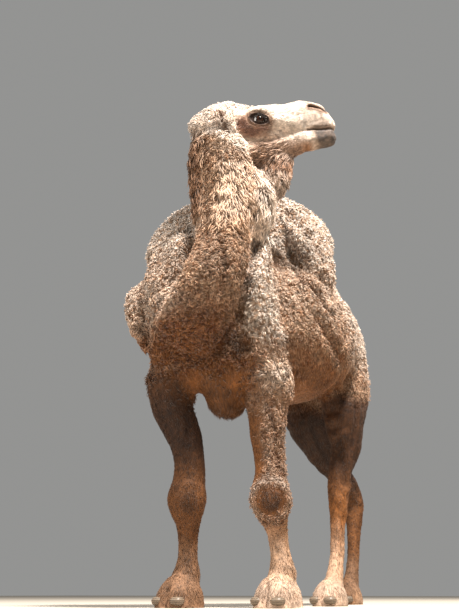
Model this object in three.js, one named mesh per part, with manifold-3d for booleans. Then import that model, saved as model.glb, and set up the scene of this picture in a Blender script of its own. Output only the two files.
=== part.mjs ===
// A two-humped camel, life size, standing on four flat soles with its head turned to its left.
// Units are millimetres.  The animal faces -Y, its own left is +X and the floor is z = 0; the last
// step slides it so that the origin lies under the middle of it.
// Every fleshy length is a run of oval rings carried along a smooth line, held as a field that is
// negative inside.  Fields that meet are blended, wrapped in a closed faceted surface, and parted
// from their neighbours by thin plane cuts.
import * as THREE from 'three';
import { mergeVertices } from 'three/addons/utils/BufferGeometryUtils.js';
import Module from 'manifold-3d';

const wasm = await Module();
wasm.setup();

// ---------- driving dimensions ----------
const GAP = 0.4;                 // clear space left by each cut
const BACK_HEIGHT = 1520;        // top of the back between the humps
const CHEST_FLOOR = 852;         // underside of the chest
const BARREL_HALF = 360;         // half the width of the belly, with its wool
const HIP_LINE = 930;            // distance of the hips behind the forefeet
const ELBOW_HEIGHT = 830;
const KNEE_HEIGHT = 418;
const HOCK_HEIGHT = 500;
const FETLOCK_HEIGHT = 112;
const HEAD_TURN = 33;            // degrees that the muzzle points behind square to the left
const EYE_HEIGHT = 2056;
const EYE_RADIUS = 24;

// Heights of the cuts between named pieces.
const HUMP_CUT = BACK_HEIGHT - 8;
const NECK_CUT = 1620;
const TAIL_CUT = 940;
const ELBOW_CUT = 838;           // also the top of the breast pad
const THIGH_CUT = 930;
const KNEE_CUT = 345;
const HOCK_CUT = 455;
const FOOT_CUT = 92;
// Distances of the upright cuts behind the forefeet.
const CHEST_BACK = 300;
const TAIL_ROOT = HIP_LINE + 190;

const CLEARANCE = 2.5;           // by which a wrapped surface is grown before a neighbour is cut by it
const FAR = 4000;                // larger than the animal
const UP = new THREE.Vector3(0, 0, 1);
const FORWARD = new THREE.Vector3(0, -1, 0);
const turn = THREE.MathUtils.degToRad(HEAD_TURN);
const HEAD_AHEAD = new THREE.Vector3(Math.cos(turn), Math.sin(turn), 0);
const HEAD_RIGHT = new THREE.Vector3().crossVectors(HEAD_AHEAD, UP);
const POLL = new THREE.Vector3(60, -120, 0);       // plan position of the top of the neck
const EYES = POLL.clone().addScaledVector(HEAD_AHEAD, 150).setZ(EYE_HEIGHT);

// ---------- fields ----------

// A length of flesh.  Each station is x, y, z, half width, reach towards the facing direction and
// reach away from it.  The value at a point is roughly its distance outside the nearest ring.
function flesh(stations, { facing = FORWARD, steps = 3, caps = [40, 40], square = 2, blend = 30 } = {}) {
  const smooth = list => new THREE.CatmullRomCurve3(list, false, 'catmullrom', 0.5);
  const line = smooth(stations.map(s => new THREE.Vector3(s[0], s[1], s[2])));
  const sizes = smooth(stations.map(s => new THREE.Vector3(s[3], s[4], s[5])));
  const count = (stations.length - 1) * steps;
  const rings = [];
  for (let i = 0; i <= count; i++) {
    const along = line.getTangent(i / count);
    const front = facing.clone().addScaledVector(along, -facing.dot(along)).normalize();
    const side = new THREE.Vector3().crossVectors(front, along);
    rings.push({ centre: line.getPoint(i / count), size: sizes.getPoint(i / count), along, front, side });
  }
  const box = new THREE.Box3();
  for (const { centre, size } of rings) {
    const reach = Math.max(size.x, size.y, size.z, caps[0], caps[1]) + blend;
    box.expandByPoint(centre.clone().addScalar(reach)).expandByPoint(centre.clone().addScalar(-reach));
  }
  const q = new THREE.Vector3();
  const step = new THREE.Vector3();
  const mix = (a, b, t) => a + (b - a) * t;
  const dot = (ring, next, key, t) => mix(q.dot(ring[key]), q.dot(next[key]), t);
  function value(point) {
    let nearest = FAR;
    for (let i = 0; i < count; i++) {
      const ring = rings[i];
      const next = rings[i + 1];
      step.subVectors(next.centre, ring.centre);
      const t = THREE.MathUtils.clamp(q.subVectors(point, ring.centre).dot(step) / step.lengthSq(), 0, 1);
      q.addScaledVector(step, -t);
      const forth = dot(ring, next, 'front', t);
      const width = mix(ring.size.x, next.size.x, t);
      const reach = forth > 0 ? mix(ring.size.y, next.size.y, t) : mix(ring.size.z, next.size.z, t);
      let cap = Math.min(width, reach);
      if (i === 0 && t === 0) cap = caps[0];
      if (i === count - 1 && t === 1) cap = caps[1];
      const shares = [dot(ring, next, 'side', t) / width, forth / reach, dot(ring, next, 'along', t) / cap];
      const ratio = shares.reduce((sum, share) => sum + Math.abs(share) ** square, 0) ** (1 / square);
      const away = ratio < 1e-3 ? -Math.min(width, reach) : q.length() * (1 - 1 / ratio);
      nearest = Math.min(nearest, away);
    }
    return nearest;
  }

  // The same length as a closed tube: a ring at each station and a blunt point beyond each end.
  function tube(sides) {
    const own = rings.filter((ring, i) => i % steps === 0);
    const points = [own[0].centre.clone().addScaledVector(own[0].along, -caps[0])];
    for (const { centre, size, front, side } of own) {
      for (let i = 0; i < sides; i++) {
        const angle = 2 * Math.PI * i / sides;
        const across = Math.cos(angle) * size.x;
        const forth = Math.sin(angle) * (angle < Math.PI ? size.y : size.z);
        points.push(centre.clone().addScaledVector(side, across).addScaledVector(front, forth));
      }
    }
    const last = own[own.length - 1];
    points.push(last.centre.clone().addScaledVector(last.along, caps[1]));
    const faces = [];
    for (let i = 0; i < sides; i++) {
      const next = (i + 1) % sides;
      faces.push(0, 1 + next, 1 + i);
      for (let row = 1; row < own.length; row++) {
        const [a, b] = [1 + (row - 1) * sides + i, 1 + (row - 1) * sides + next];
        faces.push(a, b, b + sides, a, b + sides, a + sides);
      }
      const base = 1 + (own.length - 1) * sides;
      faces.push(base + i, base + next, points.length - 1);
    }
    return closed(points.flatMap(point => point.toArray()), faces);
  }
  return { box, value, blend, tube };
}

function closed(positions, faces) {
  return new wasm.Manifold(new wasm.Mesh({
    numProp: 3, vertProperties: new Float32Array(positions), triVerts: new Uint32Array(faces),
  }));
}

// Several lengths as one field, each melting into those before it over its own blend distance.
function together(lengths) {
  return point => {
    let whole = FAR;
    for (const length of lengths) {
      if (!length.box.containsPoint(point)) continue;
      const value = length.value(point);
      const overlap = Math.max(length.blend - Math.abs(whole - value), 0) / length.blend;
      whole = Math.min(whole, value) - overlap * overlap * length.blend / 4;
    }
    return whole;
  };
}

// Two inside corners that face each other across a grid square would pinch the surface into a line, so
// the other two corners are filled in.
function fillPinches(values, strides, index, [nx, ny, nz]) {
  let filled = true;
  while (filled) {
    filled = false;
    for (let k = 1; k < nz - 2; k++) {
      for (let j = 1; j < ny - 2; j++) {
        for (let i = 1; i < nx - 2; i++) {
          for (let axis = 0; axis < 3; axis++) {
            const a = index(i, j, k);
            const b = a + strides[axis];
            const c = a + strides[(axis + 1) % 3];
            const d = b + strides[(axis + 1) % 3];
            const pinched = values[a] < 0 === values[d] < 0 && values[b] < 0 === values[c] < 0
              && values[a] < 0 !== values[b] < 0;
            if (!pinched) continue;
            for (const corner of [a, b, c, d]) values[corner] = Math.min(values[corner], -1);
            filled = true;
          }
        }
      }
    }
  }
}

// A point moved along the field's slope on to the surface where the field has the given level.
function settle(point, field, level, limit) {
  const reach = 4;
  for (let pass = 0; pass < 2; pass++) {
    const error = field(point) - level;
    if (Math.abs(error) > limit) return point;
    const slope = new THREE.Vector3();
    for (const axis of ['x', 'y', 'z']) {
      const there = point.clone();
      there[axis] += reach;
      const ahead = field(there);
      there[axis] -= 2 * reach;
      slope[axis] = (ahead - field(there)) / (2 * reach);
    }
    point.addScaledVector(slope, -error / Math.max(slope.lengthSq(), 0.25));
  }
  return point;
}

function span(positions, a, b) {
  return Math.hypot(...[0, 1, 2].map(axis => positions[3 * a + axis] - positions[3 * b + axis]));
}

// The closed surface on which a field has a given level, inside a box, as a solid: one vertex in each
// grid cell that the surface crosses, and one four-sided face across each grid edge that it crosses.
function wrap(lengths, low, high, cell, level = 0) {
  const field = together(lengths);
  const count = [0, 1, 2].map(axis => Math.ceil((high[axis] - low[axis]) / cell[axis]) + 1);
  const [nx, ny, nz] = count;
  const index = (i, j, k) => (k * ny + j) * nx + i;
  const values = new Float64Array(nx * ny * nz).fill(1);
  const point = new THREE.Vector3();
  for (let k = 1; k < nz - 1; k++) {
    for (let j = 1; j < ny - 1; j++) {
      for (let i = 1; i < nx - 1; i++) {
        point.set(low[0] + i * cell[0], low[1] + j * cell[1], low[2] + k * cell[2]);
        values[index(i, j, k)] = field(point) - level;
      }
    }
  }
  const strides = [1, nx, nx * ny];
  fillPinches(values, strides, index, count);
  const vertexOf = new Map();
  const positions = [];
  for (let k = 0; k < nz - 1; k++) {
    for (let j = 0; j < ny - 1; j++) {
      for (let i = 0; i < nx - 1; i++) {
        const sum = [0, 0, 0];
        let crossings = 0;
        for (let corner = 0; corner < 8; corner++) {
          for (let axis = 0; axis < 3; axis++) {
            if (corner >> axis & 1) continue;
            const bits = [corner & 1, corner >> 1 & 1, corner >> 2 & 1];
            const start = index(i + bits[0], j + bits[1], k + bits[2]);
            const from = values[start];
            const to = values[start + strides[axis]];
            if (from < 0 === to < 0) continue;
            bits[axis] += from / (from - to);
            for (let a = 0; a < 3; a++) sum[a] += bits[a];
            crossings++;
          }
        }
        if (!crossings) continue;
        vertexOf.set(index(i, j, k), positions.length / 3);
        point.set(...[i, j, k].map((step, a) => low[a] + (step + sum[a] / crossings) * cell[a]));
        positions.push(...settle(point, field, level, cell[0] / 2).toArray());
      }
    }
  }
  const faces = [];
  for (let k = 0; k < nz - 1; k++) {
    for (let j = 0; j < ny - 1; j++) {
      for (let i = 0; i < nx - 1; i++) {
        const here = index(i, j, k);
        for (let axis = 0; axis < 3; axis++) {
          const inside = values[here] < 0;
          if (inside === values[here + strides[axis]] < 0) continue;
          const u = strides[(axis + 1) % 3];
          const v = strides[(axis + 2) % 3];
          const ring = [here - u - v, here - v, here, here - u].map(key => vertexOf.get(key));
          if (!inside) ring.reverse();
          const [a, b, c, d] = ring;
          if (span(positions, a, c) < span(positions, b, d)) faces.push(a, b, c, a, c, d);
          else faces.push(b, c, d, b, d, a);
        }
      }
    }
  }
  return closed(positions, faces);
}

// ---------- cutting ----------

// A closed three.js geometry as a solid that can be joined and cut.
function solid(geometry) {
  const bare = geometry.clone();
  bare.deleteAttribute('normal');
  bare.deleteAttribute('uv');
  const merged = mergeVertices(bare, 1e-4);
  return closed(merged.attributes.position.array, merged.index.array);
}

function block(low, high) {
  const geometry = new THREE.BoxGeometry(high[0] - low[0], high[1] - low[1], high[2] - low[2]);
  return solid(geometry.translate((low[0] + high[0]) / 2, (low[1] + high[1]) / 2, (low[2] + high[2]) / 2));
}

// Everything on the side of a plane that its normal points to, moved on by a given distance.
function beyond(point, normal, shift = 0) {
  const outwards = normal.clone().normalize();
  const geometry = new THREE.BoxGeometry(2 * FAR, 2 * FAR, 2 * FAR).translate(0, 0, FAR + shift);
  geometry.applyQuaternion(new THREE.Quaternion().setFromUnitVectors(UP, outwards));
  return solid(geometry.translate(point.x, point.y, point.z));
}

// The two pieces that a thin plane cut leaves: the one the normal points to, and the other.
function part(body, point, normal) {
  const front = body.intersect(beyond(point, normal, GAP / 2));
  const back = body.intersect(beyond(point, normal.clone().negate(), GAP / 2));
  return [front, back];
}

const group = new THREE.Group();
function show(name, body, color, roughness = 0.9) {
  const mesh = body.getMesh();
  const geometry = new THREE.BufferGeometry();
  geometry.setAttribute('position', new THREE.BufferAttribute(new Float32Array(mesh.vertProperties), 3));
  geometry.setIndex(new THREE.BufferAttribute(new Uint32Array(mesh.triVerts), 1));
  const piece = new THREE.Mesh(geometry, new THREE.MeshStandardMaterial({ color, roughness, metalness: 0 }));
  piece.name = name;
  group.add(piece);
}

const CREAM = 0xe2d2b8;
const SAND = 0xcdb08a;
const TAN = 0xb08a62;
const BROWN = 0x6d4f3a;
const HORN = 0x5b5650;
const PUPIL = 0x1c1411;

// ---------- the head ----------
// Head points are given as ahead of the eyes, to the right of the midline, and above the eyes.
function atHead(ahead, right, above) {
  const place = EYES.clone().addScaledVector(HEAD_AHEAD, ahead).addScaledVector(HEAD_RIGHT, right);
  return place.addScaledVector(UP, above);
}

// Rows: ahead, above, half width, reach up, reach down.
function headStations(rows) {
  return rows.map(([ahead, above, ...size]) => [...atHead(ahead, 0, above).toArray(), ...size]);
}

const skull = flesh(headStations([
  [-270, -8, 66, 62, 66],
  [-215, 8, 86, 90, 95],
  [-145, 15, 97, 112, 120],
  [-70, 10, 101, 88, 130],
  [0, 5, 101, 86, 124],
  [70, 18, 82, 84, 116],
  [140, 30, 64, 84, 98],
  [208, 42, 54, 84, 82],
  [250, 36, 52, 62, 74],
  [286, 18, 49, 40, 54],
  [309, -2, 44, 29, 32],
]), { facing: UP, caps: [50, 26], square: 2.2 });

const jaw = flesh(headStations([
  [-150, -150, 76, 90, 80],
  [-20, -145, 72, 80, 66],
  [70, -122, 60, 62, 58],
  [150, -98, 50, 54, 46],
  [225, -80, 48, 50, 34],
  [315, -66, 46, 42, 25],
]), { facing: UP, caps: [60, 36], blend: 14 });

// Small rounded ears, laid back along the side of the poll.
function ear(side) {
  const outwards = HEAD_RIGHT.clone().multiplyScalar(side);
  return flesh([
    [...atHead(-122, side * 76, -76).toArray(), 24, 18, 18],
    [...atHead(-148, side * 100, -28).toArray(), 33, 14, 14],
    [...atHead(-174, side * 107, 12).toArray(), 26, 11, 11],
    [...atHead(-188, side * 106, 38).toArray(), 11, 6, 6],
  ], { facing: outwards, caps: [12, 7], blend: 10 });
}

function eyeball(side, radius) {
  const centre = atHead(-4, side * 77, -11);
  return solid(new THREE.SphereGeometry(radius, 11, 6).translate(centre.x, centre.y, centre.z));
}

// The lock of long hair that hangs under the jaw.
const beard = flesh([
  [...atHead(62, 0, -168).toArray(), 52, 90, 100],
  [...atHead(68, 0, -225).toArray(), 52, 80, 92],
  [...atHead(76, 0, -280).toArray(), 42, 58, 64],
  [...atHead(86, 0, -326).toArray(), 22, 26, 28],
], { facing: HEAD_AHEAD, caps: [30, 18], blend: 16 });

// ---------- the neck ----------
function overPoll(ahead, z) {
  return POLL.clone().addScaledVector(HEAD_AHEAD, ahead).setZ(z).toArray();
}

// It leaves the chest low, swells over the breast and rises steeply to the poll.
const NECK_FACING = new THREE.Vector3(0, -1, -1);
const neckRoot = [
  [-10, 70, 1230, 150, 200, 180],
  [-34, -90, 1176, 152, 182, 190],
  [-56, -186, 1186, 168, 168, 164],
  [74, -242, 1296, 130, 128, 130],
  [92, -204, 1410, 124, 112, 114],
  [78, -162, 1516, 132, 108, 110],
];
const neck = flesh([
  ...neckRoot,
  [66, -132, 1625, 156, 112, 114],
  [...overPoll(-2, 1740), 172, 110, 118],
  [...overPoll(-24, 1880), 152, 104, 112],
  [...overPoll(-46, 1980), 120, 88, 92],
], { facing: NECK_FACING, caps: [60, 30], blend: 24 });
const neckBase = flesh(neckRoot, { facing: NECK_FACING, caps: [60, 30], blend: 24 });

// The long hair that thickens the throat below the beard.
const mane = flesh([
  [...overPoll(130, 1800), 64, 62, 60],
  [...overPoll(142, 1712), 92, 80, 60],
  [...overPoll(122, 1620), 92, 80, 44],
  [...overPoll(92, 1540), 56, 50, 14],
], { facing: HEAD_AHEAD, caps: [40, 50], blend: 40 });

// The long dark hair that hangs down the back of the neck.
const nape = flesh([
  [...overPoll(-120, 1990), 44, 40, 44],
  [...overPoll(-126, 1900), 46, 40, 48],
  [...overPoll(-112, 1760), 44, 40, 52],
  [...overPoll(-104, 1640), 40, 36, 50],
  [...overPoll(-92, 1560), 26, 30, 34],
], { facing: HEAD_AHEAD, caps: [30, 30], blend: 20 });

// ---------- the trunk ----------
const barrel = flesh([
  [0, 40, 1150, 186, 250, 256],
  [0, 140, 1172, 262, 330, 320],
  [0, 240, 1180, 330, BACK_HEIGHT - 1180, 1180 - CHEST_FLOOR],
  [0, 350, 1178, BARREL_HALF - 6, BACK_HEIGHT - 1178, 315],
  [0, 500, 1190, BARREL_HALF - 20, 330, 298],
  [0, 650, 1220, 294, 300, 262],
  [0, 800, 1245, 242, 265, 225],
  [0, HIP_LINE, 1250, 200, 225, 185],
  [0, HIP_LINE + 120, 1240, 145, 175, 160],
], { facing: UP, caps: [60, 60], square: 2.15, steps: 2 });

// The rear hump leans to the animal's left, and its slack tip hangs over the flank as a fold.
const rearHump = flesh([
  [0, 600, 1400, 200, 290, 270],
  [25, 590, 1600, 165, 310, 240],
  [50, 590, 1750, 112, 330, 200],
  [66, 600, 1845, 76, 280, 150],
], { caps: [60, 55], blend: 90 });

const rearFold = flesh([
  [70, 590, 1800, 76, 230, 150],
  [136, 530, 1730, 80, 214, 150],
  [182, 464, 1620, 80, 176, 130],
  [226, 410, 1510, 84, 134, 96],
  [250, 380, 1420, 70, 90, 60],
], { caps: [30, 46], blend: 70 });

// Slack hide that fills the angle between the flap and the root of the neck.
const cape = flesh([
  [-136, 40, 1650, 124, 120, 110],
  [-150, -44, 1550, 140, 116, 110],
  [-160, -108, 1400, 150, 110, 120],
  [-160, -140, 1260, 154, 106, 130],
  [-170, -120, 1120, 126, 100, 120],
], { caps: [40, 40], blend: 130 });

// The breast, between the root of the neck and the left shoulder.
const brisket = flesh([
  [70, 0, 1430, 100, 110, 100],
  [100, -24, 1280, 112, 104, 100],
  [96, 20, 1120, 116, 92, 110],
  [76, 40, 980, 116, 92, 110],
], { caps: [60, 60], blend: 80 });

// The underside of the breast, from the top of one foreleg to the other.
const sternum = flesh([
  [-236, -110, 985, 90, 110, 100],
  [-130, -50, 980, 110, 110, 106],
  [0, 0, 975, 120, 110, 104],
  [120, 20, 975, 110, 110, 104],
], { facing: UP, caps: [60, 60], blend: 70 });

// The front hump has emptied: it still stands a little, then folds over the right shoulder as a thick flap.
const frontHump = flesh([
  [-20, 190, 1440, 190, 220, 180],
  [-50, 165, 1580, 160, 200, 170],
  [-130, 115, 1684, 100, 180, 165],
  [-250, 35, 1646, 98, 160, 180],
  [-294, -20, 1540, 100, 150, 190],
  [-272, -42, 1440, 96, 146, 184],
  [-292, -80, 1340, 96, 146, 186],
  [-330, -132, 1230, 100, 150, 200],
  [-308, -100, 1120, 82, 125, 170],
], { caps: [60, 60], blend: 60 });

// The ridge of the withers that runs on between the humps.
const withers = flesh([
  [-20, -10, 1440, 110, 60, 70],
  [-10, 160, 1480, 120, 70, 70],
  [0, 400, 1490, 120, 60, 70],
], { facing: UP, caps: [60, 60], blend: 90 });

// The shoulder blade and upper arm, which lean out to the top of the foreleg.
function shoulder(side, { y, lean }) {
  return flesh([
    [side * 144, y - 60, 1500, 66, 90, 46],
    [side * (178 + 0.14 * lean), y - 110, 1300, 74, 104, 46],
    [side * (180 + 0.35 * lean), y - 66, 1110, 84, 116, 54],
    [side * (168 + 0.78 * lean), y + 4, 950, 90, 128, 78],
    [side * (158 + 0.95 * lean), y + 26, 850, 92, 108, 92],
  ], { caps: [60, 40], blend: 30 });
}

// The bare horny pad under the breastbone.
const breastPad = flesh([
  [-30, 30, 890, 86, 140, 130],
  [-30, 24, 808, 66, 104, 92],
], { caps: [30, 30], blend: 60 });

// ---------- the legs ----------
// Rows: height, shift outwards, shift back, half width, reach forward, reach back.
function legStations(side, x, y, rows) {
  return rows.map(([z, out, back, ...size]) => [side * (x + out), y + back, z, ...size]);
}

// The leg leans from the shoulder to the knee and splays from the knee to the foot, which goes on
// below the floor and is cut off flat there.
function foreleg(side, { x, y, lean, knee, splay }) {
  return flesh(legStations(side, x, y, [
    [ELBOW_HEIGHT + 110, lean, -lean * 0.38, 98, 110, 104],
    [ELBOW_HEIGHT + 20, lean * 0.94, -lean * 0.3, 100, 106, 100],
    [ELBOW_HEIGHT - 60, lean * 0.64, -lean * 0.23, 92, 94, 92],
    [ELBOW_HEIGHT - 150, lean * 0.24 - 3, 0, 78, 80, 80],
    [KNEE_HEIGHT + 150, knee * 0.3 - 3, 8, 69, 74, 74],
    [KNEE_HEIGHT + 60, knee * 0.7, 4, 75, 80, 68],
    [KNEE_HEIGHT, knee + 2, 0, 86, 90, 66],
    [KNEE_HEIGHT - 70, knee + splay * 0.25, 8, 61, 64, 60],
    [KNEE_HEIGHT - 130, knee + splay * 0.55, 14, 46, 46, 50],
    [FETLOCK_HEIGHT + 90, knee + splay * 0.85, 18, 42, 41, 45],
    [FETLOCK_HEIGHT + 20, knee + splay + 2, 18, 56, 52, 56],
    [FETLOCK_HEIGHT - 22, knee + splay + 3, 8, 60, 60, 64],
    [62, knee + splay + 4, -2, 70, 80, 76],
    [34, knee + splay + 4, -10, 90, 110, 88],
    [-20, knee + splay + 4, -14, 101, 126, 90],
  ]), { caps: [40, 20], blend: 50, steps: 2 });
}

function hindleg(side, { x, hip, hock, toe }) {
  const thigh = hip + 0.45 * (hock - hip);
  return flesh([
    [side * 120, hip, 1180, 98, 175, 130],
    [side * 148, hip - 30, 1030, 98, 206, 136],
    [side * 160, thigh - 50, 880, 90, 182, 140],
    [side * 155, thigh + 0.3 * (hock - thigh), 740, 70, 122, 104],
    [side * (x + 4), thigh + 0.75 * (hock - thigh), 610, 54, 68, 74],
    [side * x, hock, HOCK_HEIGHT + 30, 51, 53, 72],
    [side * x, hock, HOCK_HEIGHT - 30, 50, 51, 60],
    [side * x, hock - 0.08 * (hock - toe), HOCK_HEIGHT - 110, 41, 41, 43],
    [side * x, hock - 0.3 * (hock - toe), FETLOCK_HEIGHT + 110, 35, 36, 38],
    [side * x, hock - 0.6 * (hock - toe), FETLOCK_HEIGHT + 20, 42, 42, 46],
    [side * x, hock - 0.86 * (hock - toe), FETLOCK_HEIGHT - 32, 52, 58, 54],
    [side * x, toe - 4, 50, 68, 86, 70],
    [side * x, toe - 10, 20, 78, 104, 80],
    [side * x, toe - 10, -30, 76, 102, 78],
  ], { caps: [40, 20], blend: 60, steps: 2 });
}

// ---------- the tail ----------
const tail = flesh([
  [0, HIP_LINE + 150, 1330, 48, 46, 46],
  [0, HIP_LINE + 235, 1240, 34, 34, 34],
  [0, HIP_LINE + 240, 1080, 26, 26, 26],
  [0, HIP_LINE + 232, 920, 30, 30, 30],
  [0, HIP_LINE + 226, 790, 36, 34, 34],
], { caps: [40, 60] });

// ---------- stance ----------
const STANCE = [
  {
    name: 'left', side: 1,
    fore: { x: 150, y: 66, lean: -10, knee: 8, splay: 34 },
    hind: { x: 128, hip: 905, hock: 735, toe: 640 },
  },
  {
    name: 'right', side: -1,
    fore: { x: 155, y: -80, lean: 86, knee: -4, splay: 14 },
    hind: { x: 96, hip: 960, hock: 1375, toe: 1275 },
  },
];
const LEGS = [];
for (const { name, side, fore, hind } of STANCE) {
  LEGS.push({
    kind: 'fore', name, side, leg: foreleg(side, fore), top: ELBOW_CUT, middle: KNEE_CUT,
    toes: { x: fore.x + fore.knee + fore.splay + 4, y: fore.y - 100, apart: 44 },
    room: { inner: 40, front: -400, rear: 350 },
  });
  LEGS.push({
    kind: 'hind', name, side, leg: hindleg(side, hind), top: THIGH_CUT, middle: HOCK_CUT,
    toes: { x: hind.x, y: hind.toe - 86, apart: 34 },
    room: { inner: 20, front: 594, rear: 1500 },
  });
}
const torso = [barrel, withers, rearHump, frontHump, rearFold, cape, brisket, sternum, breastPad];
for (const { side, fore } of STANCE) torso.push(shoulder(side, fore));
for (const { leg } of LEGS) torso.push(leg);
torso.push(tail);
const headLengths = [skull, jaw, neck, mane, nape];

// ---------- the head's pieces ----------
// The head ends at a plane through the poll that slopes down towards the throat.
const NAPE = {
  point: atHead(-200, 0, -140),
  normal: HEAD_AHEAD.clone().multiplyScalar(0.22).addScaledVector(UP, 0.975),
};
const headGrid = [[-260, -400, 1720], [640, 330, 2260], [39, 39, 35]];
const headGrown = wrap(headLengths, ...headGrid, CLEARANCE);
let head = part(wrap(headLengths, ...headGrid), NAPE.point, NAPE.normal)[0];

// The jaw lies below the line of the lips and below a line from their corner to the cheek.
const LIPS = atHead(208, 0, -30);
const CHEEK_LINE = HEAD_AHEAD.clone().multiplyScalar(0.5).addScaledVector(UP, -0.86);
function jawRoom(shift) {
  return beyond(LIPS, UP.clone().negate(), shift).intersect(beyond(LIPS, CHEEK_LINE, shift));
}
const lowerJaw = head.intersect(jawRoom(GAP / 2));
head = head.subtract(jawRoom(-GAP / 2));
for (const [name, side] of [['left', -1], ['right', 1]]) {
  head = head.subtract(eyeball(side, EYE_RADIUS + GAP));
  show(`eye_${name}`, eyeball(side, EYE_RADIUS), PUPIL, 0.15);
  show(`ear_${name}`, ear(side).tube(10).subtract(headGrown), CREAM);
}
show('head', head, CREAM);
show('lower_jaw', lowerJaw, CREAM);

// ---------- the neck's pieces ----------
// The neck's room lies above a plane through its root, before the humps and beside the slack flap.
const NECK_WALLS = [
  [new THREE.Vector3(0, -180, 1390), new THREE.Vector3(0, -0.58, 0.81)],
  [new THREE.Vector3(-20, -46, 1520), new THREE.Vector3(0.49, -0.87, 0.13)],
  [new THREE.Vector3(-112, 0, 0), new THREE.Vector3(1, 0, 0)],
];
function neckRoom(shift) {
  return NECK_WALLS.map(([point, normal]) => beyond(point, normal, shift)).reduce((a, b) => a.intersect(b));
}
const neckGrid = [[-320, -470, 1180], [460, 220, 2140], [60, 60, 66]];
const neckLengths = [...torso, ...headLengths];
const neckWhole = wrap(neckLengths, ...neckGrid).intersect(neckRoom(GAP / 2));
const neckColumn = part(neckWhole, NAPE.point, NAPE.normal)[1];
const [neckUpper, neckLower] = part(neckColumn, new THREE.Vector3(0, 0, NECK_CUT), UP);
show('neck_upper', neckUpper, SAND);
show('neck_lower', neckLower, SAND);
const neckGrown = wrap(neckLengths, ...neckGrid, CLEARANCE);
show('beard', beard.tube(11).subtract(headGrown).subtract(neckGrown), TAN);

// ---------- the trunk's pieces ----------
const trunkLengths = [...torso, neckBase];
const WAIST = new THREE.Vector3(0, CHEST_BACK, HUMP_CUT);
const frontGrid = [[-560, -480, 600], [560, 480, 2010], [62, 62, 64]];
const rearGrid = [[-560, 130, 600], [560, 1520, 2010], [84, 92, 82]];
const frontHalf = part(wrap(trunkLengths, ...frontGrid), WAIST, FORWARD)[0].subtract(neckRoom(-GAP / 2));
const rearHalf = part(wrap(trunkLengths, ...rearGrid), WAIST, FORWARD)[1];
let [humpFront, chest] = part(frontHalf, WAIST, UP);
let [humpRear, hindquarters] = part(rearHalf, WAIST, UP);
show('hump_front', humpFront, CREAM);
show('hump_rear', humpRear, CREAM);

const TAIL_HALF = 60;
hindquarters = hindquarters.subtract(block([-TAIL_HALF, TAIL_ROOT - GAP / 2, 0], [TAIL_HALF, FAR, FAR]));
const tailWhole = part(tail.tube(10), new THREE.Vector3(0, TAIL_ROOT, 0), FORWARD)[1];
const [tailStem, tuft] = part(tailWhole, new THREE.Vector3(0, 0, TAIL_CUT), UP);
show('tail', tailStem, SAND);
show('tail_tuft', tuft, BROWN);

for (const { side, top, room } of LEGS) {
  const [lowX, highX] = side > 0 ? [room.inner, 500] : [-500, -room.inner];
  const legRoom = block([lowX, room.front, -FAR], [highX, room.rear, top + GAP / 2]);
  chest = chest.subtract(legRoom);
  hindquarters = hindquarters.subtract(legRoom);
}
const UNDER_CHEST = new THREE.Vector3(0, 0, ELBOW_CUT);
show('chest', part(chest, UNDER_CHEST, UP)[0], SAND);
show('hindquarters', hindquarters, SAND);
show('breast_pad', part(breastPad.tube(12), UNDER_CHEST, UP)[1], BROWN);

// ---------- the legs' pieces ----------
// The broad nail of one toe.
function nail(x, y, z, grow) {
  const geometry = new THREE.SphereGeometry(1, 6, 4);
  geometry.scale(28 + grow, 27 + grow, 21 + grow).translate(x, y, z);
  return solid(geometry);
}

for (const { kind, name, side, leg, toes, top, middle } of LEGS) {
  const whole = leg.tube(12).intersect(block([-FAR, -FAR, 0], [FAR, FAR, top - GAP / 2]));
  const [above, under] = part(whole, new THREE.Vector3(0, 0, middle), UP);
  const [shank, sole] = part(under, new THREE.Vector3(0, 0, FOOT_CUT), UP);
  let foot = sole;
  for (const [toe, across] of [['inner', -1], ['outer', 1]]) {
    const place = [side * (toes.x + across * toes.apart), toes.y, 25];
    foot = foot.subtract(nail(...place, GAP));
    show(`nail_${kind}_${name}_${toe}`, nail(...place, 0), HORN, 0.5);
  }
  show(`${kind}leg_${name}_upper`, above, TAN);
  show(`${kind}leg_${name}_lower`, shank, TAN);
  show(`${kind}foot_${name}`, foot, TAN);
}

const middle = new THREE.Box3().setFromObject(group).getCenter(new THREE.Vector3());
group.position.set(-middle.x, -middle.y, 0);

export default group;
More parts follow.
